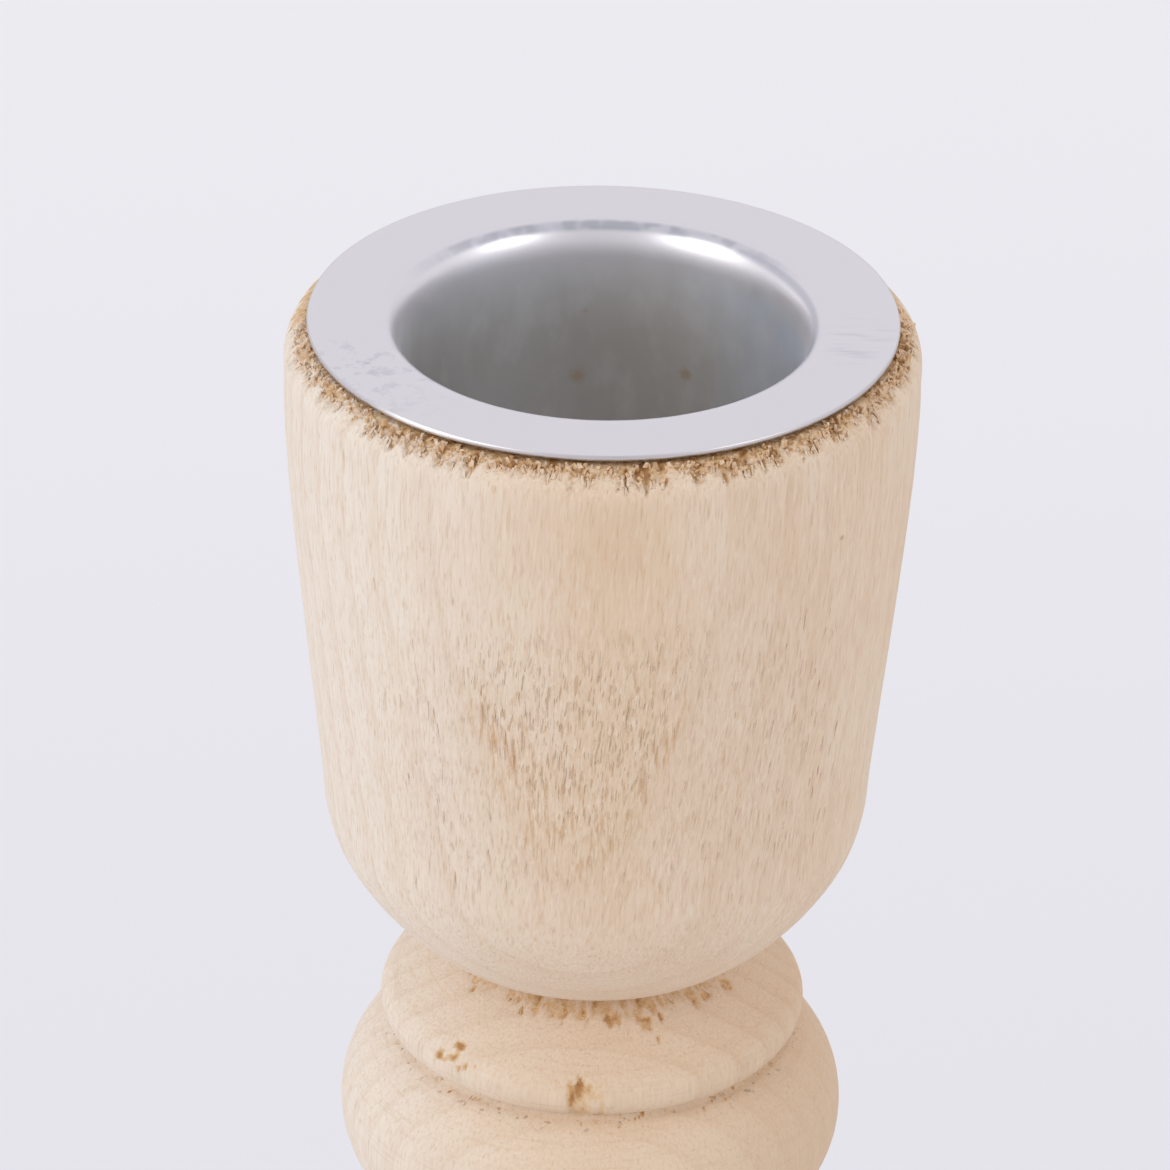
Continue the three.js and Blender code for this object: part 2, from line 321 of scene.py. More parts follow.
def out_from(angle):
    """The level direction from the axis at an angle from the front."""
    turn = math.radians(angle)
    return Vector((math.sin(turn), -math.cos(turn), 0))


sample = surface_point(0, SAMPLE_DROP)
print("cup radius", round(sample.xy.length / MM, 1), "mm,", round(SAMPLE_DROP / MM), "mm below the rim")

# %% Soft changes and layered noise
SECTOR_FADE = 8


def held(value, low, high):
    return min(max(value, low), high)


def soft_step(value):
    """0 below 0, 1 above 1, and a soft rise between."""
    share = held(value, 0, 1)
    return share * share * (3 - 2 * share)


def between(value, limits):
    """0 at the first limit, 1 at the second, with a soft change between."""
    return soft_step((value - limits[0]) / (limits[1] - limits[0]))


def in_sector(angle, start, end):
    """1 between two angles, with a soft fade at each."""
    return soft_step((angle - start) / SECTOR_FADE) * soft_step((end - angle) / SECTOR_FADE)


def graded(value, start, gain):
    """A straight change: start at a value of 0, and gain more for each 1 of it. A GRADE holds the two."""
    return start + gain * value


def layered(out, layers):
    """Noise round the axis, summed from layers of (share, lumps to a radian)."""
    return sum(share * noise.noise(out * count) for share, count in layers)


print("half of a soft change:", between(0.5, (0, 1)))

# %% Tears on the ring, under the cup and in the groove
Tear = namedtuple("Tear", "angle drop width height depth brown")
RING_TEARS = [
    Tear(-45.4, 42.5, 0.95, 0.9, 0.14, 0.6),
    Tear(-43.8, 42.6, 0.6, 0.5, 0.1, 0.5),
    Tear(-42.3, 42.5, 1.0, 0.5, 0.08, 0.42),
    Tear(-40.8, 41.8, 1.0, 0.6, 0.12, 0.56),
    Tear(-40.4, 42.3, 0.55, 1.3, 0.12, 0.6),
    Tear(-38.8, 42.7, 0.5, 0.7, 0.1, 0.5),
    Tear(-36.2, 42.6, 0.4, 0.8, 0.1, 0.45),
    Tear(-33.4, 42.4, 0.25, 0.5, 0.06, 0.35),
    Tear(-9.6, 42.2, 0.5, 0.25, 0.06, 0.3),
    Tear(29.0, 41.5, 0.25, 0.2, 0.06, 0.4),
]
NECK_TEARS = [
    Tear(-51.5, 40.0, 0.35, 0.7, 0.16, 0.45),
    Tear(-27.6, 40.0, 0.35, 0.6, 0.14, 0.45),
    Tear(-11.0, 40.0, 0.3, 0.9, 0.16, 0.5),
    Tear(7.8, 39.9, 1.0, 1.2, 0.2, 0.52),
    Tear(19.4, 40.1, 1.2, 1.3, 0.18, 0.5),
    Tear(26.2, 40.0, 0.4, 1.2, 0.16, 0.54),
    Tear(22.8, 40.8, 0.2, 0.8, 0.12, 0.45),
    Tear(43.0, 40.0, 0.8, 0.9, 0.12, 0.5),
    Tear(49.0, 39.9, 1.1, 0.8, 0.12, 0.45),
    Tear(60.0, 40.0, 1.0, 0.9, 0.12, 0.48),
]
ALL_ROUND = (-180, 180)
BACK_TEARS = 7
BACK_TEAR = Tear((80, 280), (41.1, 43.7), (0.3, 0.9), (0.3, 1.2), (0.06, 0.16), (0.3, 0.6))
GROOVE_ANGLES = (-44, -40, -35, -29, -14, 8, 14, 27, 31, 34, 38, 42, 46, 49, 52, 58, 65)
GROOVE_SPECKS = 14
SPECK_DROP = 44.95
RING_SEED = 7
SPECK_DROPS = (SPECK_DROP - 0.22, SPECK_DROP + 0.22)
GROOVE_SPECK = Tear(ALL_ROUND, SPECK_DROPS, (0.15, 0.36), (0.14, 0.3), (0.05, 0.12), (0.5, 0.9))

ring_draw = random.Random(RING_SEED)


def random_tear(limits):
    """A tear with each of its values drawn between two limits."""
    return Tear(*(ring_draw.uniform(*pair) for pair in limits))


tears = RING_TEARS + NECK_TEARS
tears += [random_tear(BACK_TEAR) for _ in range(BACK_TEARS)]
tears += [random_tear(GROOVE_SPECK._replace(angle=(angle - 1, angle + 1))) for angle in GROOVE_ANGLES]
tears += [random_tear(GROOVE_SPECK) for _ in range(GROOVE_SPECKS)]
tear_places = [(tear, surface_point(tear.angle, tear.drop * MM)) for tear in tears]
print(len(tears), "tears")

# %% How deep and how brown a tear is
FIBRE_RAGGED = Vector((2.6, 2.6, 2.0)) / MM
RAGGED_SHARE = 0.8
TEAR_SHARPNESS = 1.2
TEAR_DEPTH_GRADE = (0.75, 0.6)
TEAR_BROWN_GRADE = (0.85, 0.5)


def tear_wear(co):
    """How deep the tears reach at a point, and how brown they are there."""
    depth, brown = 0, 0
    for tear, centre in tear_places:
        away = co - centre
        if away.length > max(tear.width, tear.height) * MM:
            continue
        across = Vector((-centre.y, centre.x, 0)).normalized()
        sideways = away.dot(across)
        upright = math.sqrt(max(away.length_squared - sideways * sideways, 0))
        oval = (2 * sideways / (tear.width * MM)) ** 2 + (2 * upright / (tear.height * MM)) ** 2
        rough = noise.noise(co * FIBRE_RAGGED)
        share = soft_step((1 - oval + RAGGED_SHARE * rough) * TEAR_SHARPNESS)
        depth = max(depth, share * tear.depth * MM * graded(rough, *TEAR_DEPTH_GRADE))
        brown = max(brown, share * tear.brown * graded(rough, *TEAR_BROWN_GRADE))
    return depth, min(brown, 1)


print("deepest tear", max(tear.depth for tear in tears), "mm")

# %% The chip out of the ring
CHIP_ANGLES = (-6.3, 4.6)
CHIP_DROPS = (42.0 * MM, 44.75 * MM)
CHIP_REACH = (-0.3, 1.4)
CHIP_STREAKS = Vector((5, 1.5, 0))
CHIP_GRAIN = Vector((0, 0, 3.7))
CHIP_LEFT = (-0.088, 0.132)
CHIP_RIGHT = (1.1, 0.6)
CHIP_TOP = (-0.02, 0.05)
CHIP_FOOT = (1.1, 0.9)
ACROSS_RAGGED = 0.35
DOWN_RAGGED = 0.2
CHIP_DEPTH = 0.2 * MM
CHIP_DEPTH_GRADE = (1, -0.75)
STREAK_DEPTH_GRADE = (1, 0.5)
CHIP_PATCH_SLANT = 0.6
CHIP_PATCH_RIGHT = (0.62, 0.42)
CHIP_PATCH_FOOT = (0.6, 0.3)
Stroke = namedtuple("Stroke", "place slant width foot strength")
CHIP_STROKES = (Stroke(0.42, 0.75, 0.22, (0.58, 0.33), 0.75), Stroke(0.06, 0, 0.14, (0.8, 0.5), 0.8))
CHIP_BROWN_GRADE = (0.22, 0.4)
STREAK_BROWN = 0.25
CHIP_BROWNS = (0.15, 0.66)


def chip_wear(co):
    """A flake broken out of the ring: deep and brown at its left and top, shallow at its right."""
    across = (angle_of(co) - CHIP_ANGLES[0]) / (CHIP_ANGLES[1] - CHIP_ANGLES[0])
    down = (rim_top - co.z - CHIP_DROPS[0]) / (CHIP_DROPS[1] - CHIP_DROPS[0])
    if not all(CHIP_REACH[0] < place < CHIP_REACH[1] for place in (across, down)):
        return 0, 0
    streak = noise.noise(Vector((across, down, 0)) * CHIP_STREAKS + CHIP_GRAIN)
    share = between(across, CHIP_LEFT) * between(across - ACROSS_RAGGED * streak, CHIP_RIGHT)
    share *= between(down + DOWN_RAGGED * streak, CHIP_TOP) * between(down, CHIP_FOOT)
    depth = share * CHIP_DEPTH * graded(across, *CHIP_DEPTH_GRADE) * graded(streak, *STREAK_DEPTH_GRADE)
    patch = between(across + CHIP_PATCH_SLANT * down, CHIP_PATCH_RIGHT)
    patch *= between(down - DOWN_RAGGED * streak, CHIP_PATCH_FOOT)
    strokes = [
        s.strength * between(abs(across - s.place - s.slant * down), (s.width, 0)) * between(down, s.foot)
        for s in CHIP_STROKES
    ]
    brown = graded(max(patch, *strokes), *CHIP_BROWN_GRADE) + STREAK_BROWN * streak
    return depth, share * held(brown, *CHIP_BROWNS)


print("chip", round((CHIP_DROPS[1] - CHIP_DROPS[0]) / MM, 2), "mm high")

# %% Torn fibres and painted shade under the cup, and the dark line of the groove
NECK_DROP = 39.55 * MM
NECK_TEAR = 0.42 * MM
NECK_TEAR_SPREAD = 0.5 * MM
NECK_TEAR_SOFT = 0.3 * MM
NECK_TEAR_DEPTH = 0.12 * MM
NECK_FRONT = (-40, 70)
NECK_FRINGE = ((1, 12), (0.4, 31))
NECK_PATCH_LUMPS = 3.1
NECK_PATCH_START = Vector((2, 0, 0))
NECK_PATCH_CONTRAST = 1.6
NECK_PATCH_SHARE = 0.8
NECK_GRADE = (0.25, 0.75)
BLOTCH_LUMPS = 24
BLOTCH_ROWS = 1200
BLOTCH_DEPTH_GRADE = (0.6, 0.8)
BLOTCH_BROWN_GRADE = (0.22, 0.5)
NECK_BROWNS = (0.04, 0.5)
GROOVE_DROPS = (43 * MM, 46 * MM)
GROOVE_LINE = 0.34 * MM
GROOVE_LOWER = 0.12 * MM
GROOVE_DEPTH = 0.11 * MM
DUST_AND_SHADE_LAYERS = ((0.12, 9), (0.3, 44))
DUST_AND_SHADE_BROWN = 0.02
MOST_DUST_AND_SHADE = 0.45

near_groove = [p for p in outer_rows if GROOVE_DROPS[0] < rim_top - p.y < GROOVE_DROPS[1]]
groove_drop = rim_top - min(near_groove, key=lambda p: p.x).y


def neck_tears_and_shade(co):
    """Fibres torn out under the cup's foot hang down the ring's slope like a fringe; their brown also fills
    the V under the foot as painted shade.
    """
    out = out_at(co)
    patches = soft_step(NECK_PATCH_CONTRAST * noise.noise(out * NECK_PATCH_LUMPS + NECK_PATCH_START))
    strength = max(in_sector(angle_of(co), *NECK_FRONT), NECK_PATCH_SHARE * patches)
    edge = NECK_DROP + strength * (NECK_TEAR + NECK_TEAR_SPREAD * layered(out, NECK_FRINGE))
    # Painted shade: above the fringe's edge the brown covers the V under the cup's foot, together with the
    # torn fibres.
    torn = soft_step((edge - rim_top + co.z) / NECK_TEAR_SOFT) * graded(strength, *NECK_GRADE)
    blotch = noise.noise(out * BLOTCH_LUMPS + Vector((0, 0, co.z * BLOTCH_ROWS)))
    depth = torn * NECK_TEAR_DEPTH * graded(blotch, *BLOTCH_DEPTH_GRADE)
    return depth, torn * held(graded(blotch, *BLOTCH_BROWN_GRADE), *NECK_BROWNS)


def groove_dust_and_shade(co):
    """The tool has cut the groove sharply, and dust and crushed fibres lie in it. The line lies just below
    the groove's bottom and also darkens it as painted shade.
    """
    # Painted shade and dust: a dark line just under the ring's edge, where its shadow falls on the bead.
    line = soft_step(1 - abs(rim_top - co.z - groove_drop - GROOVE_LOWER) / GROOVE_LINE)
    dust_and_shade = DUST_AND_SHADE_BROWN + layered(out_at(co), DUST_AND_SHADE_LAYERS)
    return line * GROOVE_DEPTH, line * held(dust_and_shade, 0, MOST_DUST_AND_SHADE)


print("groove", round(groove_drop / MM, 2), "mm below the rim")

# %% Torn rim
RIM_TEAR = 0.66 * MM
RIM_TEAR_SPREAD = 0.42 * MM
LEAST_RIM_TEAR = 0.3 * MM
MOST_RIM_TEAR = 1.25 * MM
RIM_TEAR_SOFT = 0.12 * MM
RIM_RAGGED = ((0.5, 6), (0.7, 25), (0.5, 62))
NOTCH_PITCH = 3.6
NOTCH_WANDER = 14
NOTCH_LUMPS = 19
NOTCH_START = Vector((0, 0, 4))
NOTCH_SIZE_GRADE = (0.6, 1.2)
NOTCH_REACH = 0.62 * MM
NOTCH_MIDDLE = 0.3
NOTCH_PIT = 0.5
RIM_PIT = 0.5 * MM
LUMPS = Vector((1.35, 1.35, 0.95)) / MM
LUMP_LAYERS = (0.5, 2.1, 4)
LUMP_GRADE = (0.35, 0.75)
# Painted shade under the flange: how far it reaches down the torn band, and how brown it makes it.
FLANGE_SHADE_GRADE = (1.1, -1.3)
PIT_BROWN_GRADE = (0.06, 0.26)
FLANGE_SHADE_BROWN_GRADE = (0.1, 0.36)
CLEAN_BROWN_GRADE = (0.24, 0.12)
PALE_LEFT = 0.36
PALE_FROM = -18
PALE_FADE = 30
CLEAN_SECTORS = ((-145, -86), (94, 165))


def rim_torn_share(angle):
    """1 where the rim's end grain is torn, 0 in the sectors where the tool has cut it clean."""
    return math.prod(1 - in_sector(angle, *sector) for sector in CLEAN_SECTORS)


def rim_tone(angle):
    """The torn end grain is paler on the left of the rim than on its front and right."""
    return 1 - PALE_LEFT * soft_step((PALE_FROM - angle) / PALE_FADE)


def rim_notch(out):
    """1 at the middle of a notch where the fibres have split, 0 between two notches."""
    turns = angle_of(out) / NOTCH_PITCH + noise.noise(out * NOTCH_WANDER)
    size = soft_step(graded(noise.noise(out * NOTCH_LUMPS + NOTCH_START), *NOTCH_SIZE_GRADE))
    return (1 - 2 * abs(turns % 1 - 0.5)) * size


def rim_edge(out):
    """How far the torn band reaches down from the rim, in a direction from the axis."""
    reach = RIM_TEAR + RIM_TEAR_SPREAD * layered(out, RIM_RAGGED)
    reach += NOTCH_REACH * (rim_notch(out) - NOTCH_MIDDLE)
    return held(reach, LEAST_RIM_TEAR, MOST_RIM_TEAR)


def rim_wear(co):
    """How deep the end grain is torn out near the rim, and how brown it is, with painted shade in its pits
    and under the flange.
    """
    out, angle, drop = out_at(co), angle_of(co), rim_top - co.z
    torn_share = rim_torn_share(angle)
    edge = rim_edge(out)
    torn = soft_step((edge - drop) / RIM_TEAR_SOFT)
    lumps = graded(noise.fractal(co * LUMPS, *LUMP_LAYERS), *LUMP_GRADE)
    pits = held(lumps + NOTCH_PIT * rim_notch(out), 0, 1)
    # The brown in the pits is darker end grain with painted shade in the recesses; near the flange the brown
    # grows as painted shade under the flange.
    flange_shade = soft_step(graded(drop / edge, *FLANGE_SHADE_GRADE))
    rough_brown_and_shade = graded(pits * pits, *PIT_BROWN_GRADE) + flange_shade * graded(pits, *FLANGE_SHADE_BROWN_GRADE)
    rough_brown_and_shade *= rim_tone(angle)
    clean_brown = graded(pits, *CLEAN_BROWN_GRADE)
    brown = clean_brown + (rough_brown_and_shade - clean_brown) * torn_share
    return torn * torn_share * RIM_PIT * pits, torn * brown


print("rim torn", round(rim_edge(out_from(0)) / MM, 2), "mm down at the front")

# %% Wear on the column
TOOL_WAVE = 0.012 * MM
TOOL_RINGS = Vector((20, 20, 900))

# The torn attribute holds the brown of tears and also painted shade under the flange, in the neck's V and
# along the groove.
torn_and_shade_layer = column_bm.verts.layers.float.new("torn")
for vert in column_bm.verts:
    co = vert.co.copy()
    drop = rim_top - co.z
    if drop > SHOWN_DROP or in_socket(math.hypot(co.x, co.y), drop):
        continue
    inward = TOOL_WAVE * noise.noise(co * TOOL_RINGS)
    torn = 0
    if RING_BAND[0] < drop < RING_BAND[1]:
        found = tear_wear(co), chip_wear(co), neck_tears_and_shade(co), groove_dust_and_shade(co)
        inward += max(depth for depth, brown in found)
        torn = max(brown for depth, brown in found)
    if drop < RIM_BAND:
        depth, torn = rim_wear(co)
        inward += depth
    vert[torn_and_shade_layer] = torn
    outward = vert.normal if drop > RIM_BAND else out_at(co)
    vert.co = co - outward * inward
bmesh.ops.recalc_face_normals(column_bm, faces=column_bm.faces)
add_piece("turned_column", column_bm, "stick", "column")

# %% [markdown]
# ## Torn fibres
# Where the tool leaves the wood across its grain, the fibres tear: a crumbly band of end grain round the rim,
# splinters under the cup and along the groove, and a nap of raised fibres on the cup. They could be painted,
# but a torn edge shows by its shadows. Each fibre is a small tapered sliver of four sides, and only its size,
# lean and shade differ, so thousands of them stay light. An operator on a large bmesh is slow, so slivers are
# made in small sheaves that are then added to the whole.

# %% Slivers in sheaves
Sliver = namedtuple("Sliver", "root direction facing length width thickness taper torn")
SLIVER_SIDES = 4
SHEAF = 60
DISORDER = 0.3


def drawn(draw, limits):
    """A random length between two limits in millimetres."""
    return draw.uniform(*limits) * MM


def sliver_place(sliver):
    """The matrix that lays a unit cone along a sliver, with its thin side turned to where it faces."""
    side = sliver.facing.cross(sliver.direction).normalized()
    thin = sliver.direction.cross(side)
    turn = Matrix((side, thin, sliver.direction)).transposed().to_4x4()
    size = Matrix.Diagonal((sliver.width / 2, sliver.thickness / 2, sliver.length, 1))
    return Matrix.Translation(sliver.root + sliver.direction * (sliver.length / 2)) @ turn @ size


def add_slivers(name, slivers, draw):
    """Makes one piece of many tapered slivers, each with a little disorder in its corners."""
    whole = bmesh.new()
    sheaf_mesh = bpy.data.meshes.new("sheaf")
    for first in range(0, len(slivers), SHEAF):
        sheaf = bmesh.new()
        torn_and_shade_layer = sheaf.verts.layers.float.new("torn")
        for sliver in slivers[first : first + SHEAF]:
            made = bmesh.ops.create_cone(
                sheaf,
                cap_ends=True,
                segments=SLIVER_SIDES,
                radius1=1,
                radius2=sliver.taper,
                depth=1,
                matrix=sliver_place(sliver),
            )
            for vert in made["verts"]:
                vert[torn_and_shade_layer] = sliver.torn
                vert.co += Vector([draw.uniform(-DISORDER, DISORDER) * sliver.thickness for _ in range(3)])
        sheaf.to_mesh(sheaf_mesh)
        sheaf.free()
        whole.from_mesh(sheaf_mesh)
    bpy.data.meshes.remove(sheaf_mesh)
    add_piece(name, whole, "stick", smooth=False)


print("sheaves of", SHEAF, "slivers")

# %% Crumbs round the rim
UP = Vector((0, 0, 1))
RIM_SEED = 11
RIM_CRUMBS = 1000
CRUMB_WIDTH = (0.17, 0.44)
CRUMB_LENGTH = (0.18, 0.44)
CRUMB_THICKNESS = (0.14, 0.3)
CRUMB_TAPER = (0.4, 0.9)
CRUMB_SUNK = (0.2, 0.38)
CRUMB_LEAN = 0.5
CRUMB_BROWNS = ((0.02, (0.4, 0.65)), (0.3, (0.18, 0.36)), (1, (0.08, 0.2)))
FLANGE_SHADE_DARKER = 0.3
LEAST_BROWN = 0.17
HIGHEST_CRUMB = flange_under - 0.1 * MM
LEAST_DROP = 0.06 * MM
NOTCH_BARE = 0.7

rim_draw = random.Random(RIM_SEED)


def any_way():
    return Vector([rim_draw.gauss(0, 1) for _ in range(3)])


def crumb_brown(share):
    """How brown a crumb is: 0 is fresh wood and 1 the darkest brown. Crumbs near the flange are darker, as
    painted shade under the flange.
    """
    # Painted shade: crumbs close to the flange are drawn from the darker browns.
    kind = rim_draw.random() - FLANGE_SHADE_DARKER * (1 - share)
    return rim_draw.uniform(*next(browns for most, browns in CRUMB_BROWNS if kind < most))


def torn_angle():
    """A random angle where the rim is torn."""
    while True:
        angle = rim_draw.uniform(*ALL_ROUND)
        standing = 1 - NOTCH_BARE * rim_notch(out_from(angle))
        if rim_draw.random() < rim_torn_share(angle) * standing:
            return angle


def rim_crumb():
    """A crumb of end grain that lies any way up in the torn band."""
    angle = torn_angle()
    out = out_from(angle)
    share = rim_draw.random()
    width = drawn(rim_draw, CRUMB_WIDTH)
    length = drawn(rim_draw, CRUMB_LENGTH)
    root = surface_point(angle, LEAST_DROP + rim_edge(out) * share) - out * drawn(rim_draw, CRUMB_SUNK)
    direction = (UP + any_way() * CRUMB_LEAN).normalized()
    root.z = min(root.z, HIGHEST_CRUMB - length)
    thickness = drawn(rim_draw, CRUMB_THICKNESS)
    taper = rim_draw.uniform(*CRUMB_TAPER)
    brown = max(crumb_brown(share) * rim_tone(angle), LEAST_BROWN)
    return Sliver(root, direction, any_way(), length, width, thickness, taper, brown)


rim_slivers = [rim_crumb() for _ in range(RIM_CRUMBS)]
print(len(rim_slivers), "crumbs")

# %% Teeth of the wall between the pits
RIM_TEETH = 420
TOOTH_LENGTH = (0.25, 0.7)
TOOTH_WIDTH = (0.1, 0.3)
TOOTH_THICKNESS = (0.1, 0.2)
TOOTH_TAPER = (0.2, 0.7)
TOOTH_BROWN = (0, 0.1)
TOOTH_FOOT = (0.8, 1.15)
TOOTH_SUNK = 0.45
TOOTH_TIP_SUNK = (0.2, 0.7)
TOOTH_LEAN = (0.1, 0.3)


def rim_tooth():
    """A strip of the wall that is left standing between two pits and lies in the wall's own face."""
    angle = torn_angle()
    out = out_from(angle)
    drop = LEAST_DROP + rim_edge(out) * rim_draw.uniform(*TOOTH_FOOT)
    length = min(drawn(rim_draw, TOOTH_LENGTH), drop - LEAST_DROP)
    width = drawn(rim_draw, TOOTH_WIDTH)
    thickness = drawn(rim_draw, TOOTH_THICKNESS)
    root = surface_point(angle, drop) - out * thickness * TOOTH_SUNK
    tip = surface_point(angle + rim_draw.gauss(*TOOTH_LEAN), drop - length)
    tip -= out * thickness * rim_draw.uniform(*TOOTH_TIP_SUNK)
    taper = rim_draw.uniform(*TOOTH_TAPER)
    direction = (tip - root).normalized()
    return Sliver(root, direction, out, length, width, thickness, taper, rim_draw.uniform(*TOOTH_BROWN))


rim_slivers += [rim_tooth() for _ in range(RIM_TEETH)]
add_slivers("torn_rim", rim_slivers, rim_draw)

# %% Splinters under the cup and along the groove
SplinterKind = namedtuple("SplinterKind", "count middle drop length width")
NECK_KIND = SplinterKind(18, NECK_DROP, (-0.15, 0.3), (0.3, 0.8), (0.08, 0.17))
GROOVE_KIND = SplinterKind(40, SPECK_DROP * MM, (-0.15, 0.25), (0.2, 0.5), (0.06, 0.14))
SPLINTER_SEED = 23
NECK_FRONT_SHARE = 0.65
FRESH_SHARE = 0.7
FRESH_BROWN = (0.05, 0.15)
TORN_OFF_BROWN = (0.2, 0.5)
GROOVE_BROWN = (0, 0.4)
SPLINTER_ASKEW = 1.2
SPLINTER_BEND = 0.6
SPLINTER_SUNK = 0.15
SPLINTER_THIN = 0.5
SPLINTER_TAPER = (0.2, 0.7)

splinter_draw = random.Random(SPLINTER_SEED)


def hanging_splinter(kind, angle, browns):
    """A splinter that lies on the wood and points down it, a little askew."""
    drop = kind.middle + drawn(splinter_draw, kind.drop)
    length = drawn(splinter_draw, kind.length)
    width = drawn(splinter_draw, kind.width)
    brown = splinter_draw.uniform(*browns)
    root = surface_point(angle, drop)
    below = surface_point(angle + splinter_draw.gauss(0, SPLINTER_ASKEW), drop + length * SPLINTER_BEND)
    direction = (below - root).normalized()
    facing = (out_at(root) + UP).normalized()
    root -= facing * width * SPLINTER_SUNK
    taper = splinter_draw.uniform(*SPLINTER_TAPER)
    return Sliver(root, direction, facing, length, width, width * SPLINTER_THIN, taper, brown)


splinters = []
for _ in range(NECK_KIND.count):
    in_front = splinter_draw.random() < NECK_FRONT_SHARE
    angle = splinter_draw.uniform(*(NECK_FRONT if in_front else ALL_ROUND))
    browns = FRESH_BROWN if splinter_draw.random() < FRESH_SHARE else TORN_OFF_BROWN
    splinters.append(hanging_splinter(NECK_KIND, angle, browns))
for _ in range(GROOVE_KIND.count):
    splinters.append(hanging_splinter(GROOVE_KIND, splinter_draw.uniform(*ALL_ROUND), GROOVE_BROWN))
add_slivers("ring_splinters", splinters, splinter_draw)

# %% Nap of raised fibres on the cup
PITH_BACK = 300 * MM
PITH_SIDE = 21 * MM
V_TIP = surface_point(-4, 24 * MM)
FIGURE = math.hypot(V_TIP.x - PITH_SIDE, V_TIP.y - PITH_BACK) / MM
V_EDGE = (FIGURE - 0.3, FIGURE + 0.3)
NAP_TOP = (141.5, 135.5)
NAP_FOOT = (118, 123)
NAP_LEFT = (-14, -7)
NAP_RIGHT = (15.6, 11)
NAP_FRONT = (0, -1)
NAP_SIDE_SHARE = 0.42
NAP_SEED = 31
NAP_TRIES = 1700
NAP_ANGLES = (-46, 58)
NAP_DROPS = (5, 33)
NAP_LENGTH = (0.5, 1.3)
NAP_LEAN = (0.15, 0.25)
NAP_LIFT = (-0.01, 0.04)
NAP_WIDTH = (0.09, 0.18)
NAP_THICKNESS = (0.03, 0.06)
NAP_BROWN = (0, 0.14)
NAP_TAPER = (0.1, 0.5)

nap_draw = random.Random(NAP_SEED)


def nap_share(point):
    """How raised the fibres are at a point of the cup: most inside the growth ring's V, less beside it."""
    x, y, height = point / MM
    inside = between(math.hypot(point.x - PITH_SIDE, point.y - PITH_BACK) / MM, V_EDGE)
    beside = between(x, NAP_LEFT) * between(x, NAP_RIGHT) * between(y, NAP_FRONT)
    return max(inside, NAP_SIDE_SHARE * beside) * between(height, NAP_TOP) * between(height, NAP_FOOT)


nap = []
for _ in range(NAP_TRIES):
    angle = nap_draw.uniform(*NAP_ANGLES)
    root = surface_point(angle, drawn(nap_draw, NAP_DROPS))
    if nap_draw.random() > nap_share(root):
        continue
    length = drawn(nap_draw, NAP_LENGTH)
    above = surface_point(angle + nap_draw.gauss(*NAP_LEAN), rim_top - root.z - length)
    out = out_at(root)
    direction = (above + out * drawn(nap_draw, NAP_LIFT) - root).normalized()
    width = drawn(nap_draw, NAP_WIDTH)
    thickness = drawn(nap_draw, NAP_THICKNESS)
    brown = nap_draw.uniform(*NAP_BROWN)
    nap.append(Sliver(root, direction, out, length, width, thickness, nap_draw.uniform(*NAP_TAPER), brown))
add_slivers("cup_nap", nap, nap_draw)

# %% [markdown]
# ## The insert
# The insert is pressed from thin aluminium sheet: a flat flange, a rounded lip, a bore for the candle and a
# floor. It could be a cylinder with a ring on top, but the lip's even round and the thin edge of the sheet
# are what make it read as pressed metal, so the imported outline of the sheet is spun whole.

# %% Spin the insert
INSERT_SEGMENTS = 144
SHEET_EASE = 0.16 * MM
SHEET_ROW = 0.3 * MM
WALL_ROW = 2 * MM
LIP_DEPTH = 3 * MM


def insert_row(point):
    return SHEET_ROW if point.y > flange_top - LIP_DEPTH else WALL_ROW


insert_outline = smooth_outline("candle_insert", SHEET_EASE, insert_row)
insert_bm = turn_on_lathe(insert_outline, False, INSERT_SEGMENTS)
add_piece("pressed_insert", insert_bm, "insert", "candle_insert")

# %% [markdown]
# ## The foot
# The foot is turned from a board, so its grain lies flat. It could be modelled as a disc with a bevelled
# edge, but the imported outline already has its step, sweep and collar. That outline closes on itself round
# the screw hole and the mortise, and is spun the same way.

# %% Spin the foot
FOOT_SEGMENTS = 144
FOOT_ROW = 1.2 * MM

foot_outline = smooth_outline("base", WOOD_EASE, lambda point: FOOT_ROW)
foot_bm = turn_on_lathe(foot_outline, True, FOOT_SEGMENTS)
add_piece("turned_foot", foot_bm, "stick", "base")

# %% [markdown]
# ## Helpers for materials
# A finish is a tree of shader nodes. Written out by hand each node takes many lines, so a few small helpers
# add a node with its values, a sum or product, a soft mask between two limits, a tint where several masks
# meet, noise drawn out along the fibres, and a small oval spot.

# %% Colours, nodes and sums


def colour(red, green, blue):
    """A colour read off a screen, 0 to 255, as the linear values that Blender's sockets take."""
    shares = [value / 255 for value in (red, green, blue)]
    linear = [s / 12.92 if s <= 0.04045 else ((s + 0.055) / 1.055) ** 2.4 for s in shares]
    return (*linear, 1)


def add_node(tree, kind, values=None, **settings):
    """Adds a node. A value that is another node's socket is linked, any other is set."""
    made = tree.nodes.new(kind)
    for name, setting in settings.items():
        setattr(made, name, setting)
    for name, value in (values or {}).items():
        if isinstance(value, bpy.types.NodeSocket):
            tree.links.new(value, made.inputs[name])
        else:
            made.inputs[name].default_value = value
    return made


def axes_of(tree, position):
    return add_node(tree, "ShaderNodeSeparateXYZ", {0: position}).outputs


def math_of(tree, operation, *values):
    return add_node(tree, "ShaderNodeMath", dict(enumerate(values)), operation=operation).outputs[0]


def graded_of(tree, value, start, gain):
    return math_of(tree, "MULTIPLY_ADD", value, gain, start)


def product_of(tree, first, *others):
    for other in others:
        first = math_of(tree, "MULTIPLY", first, other)
    return first


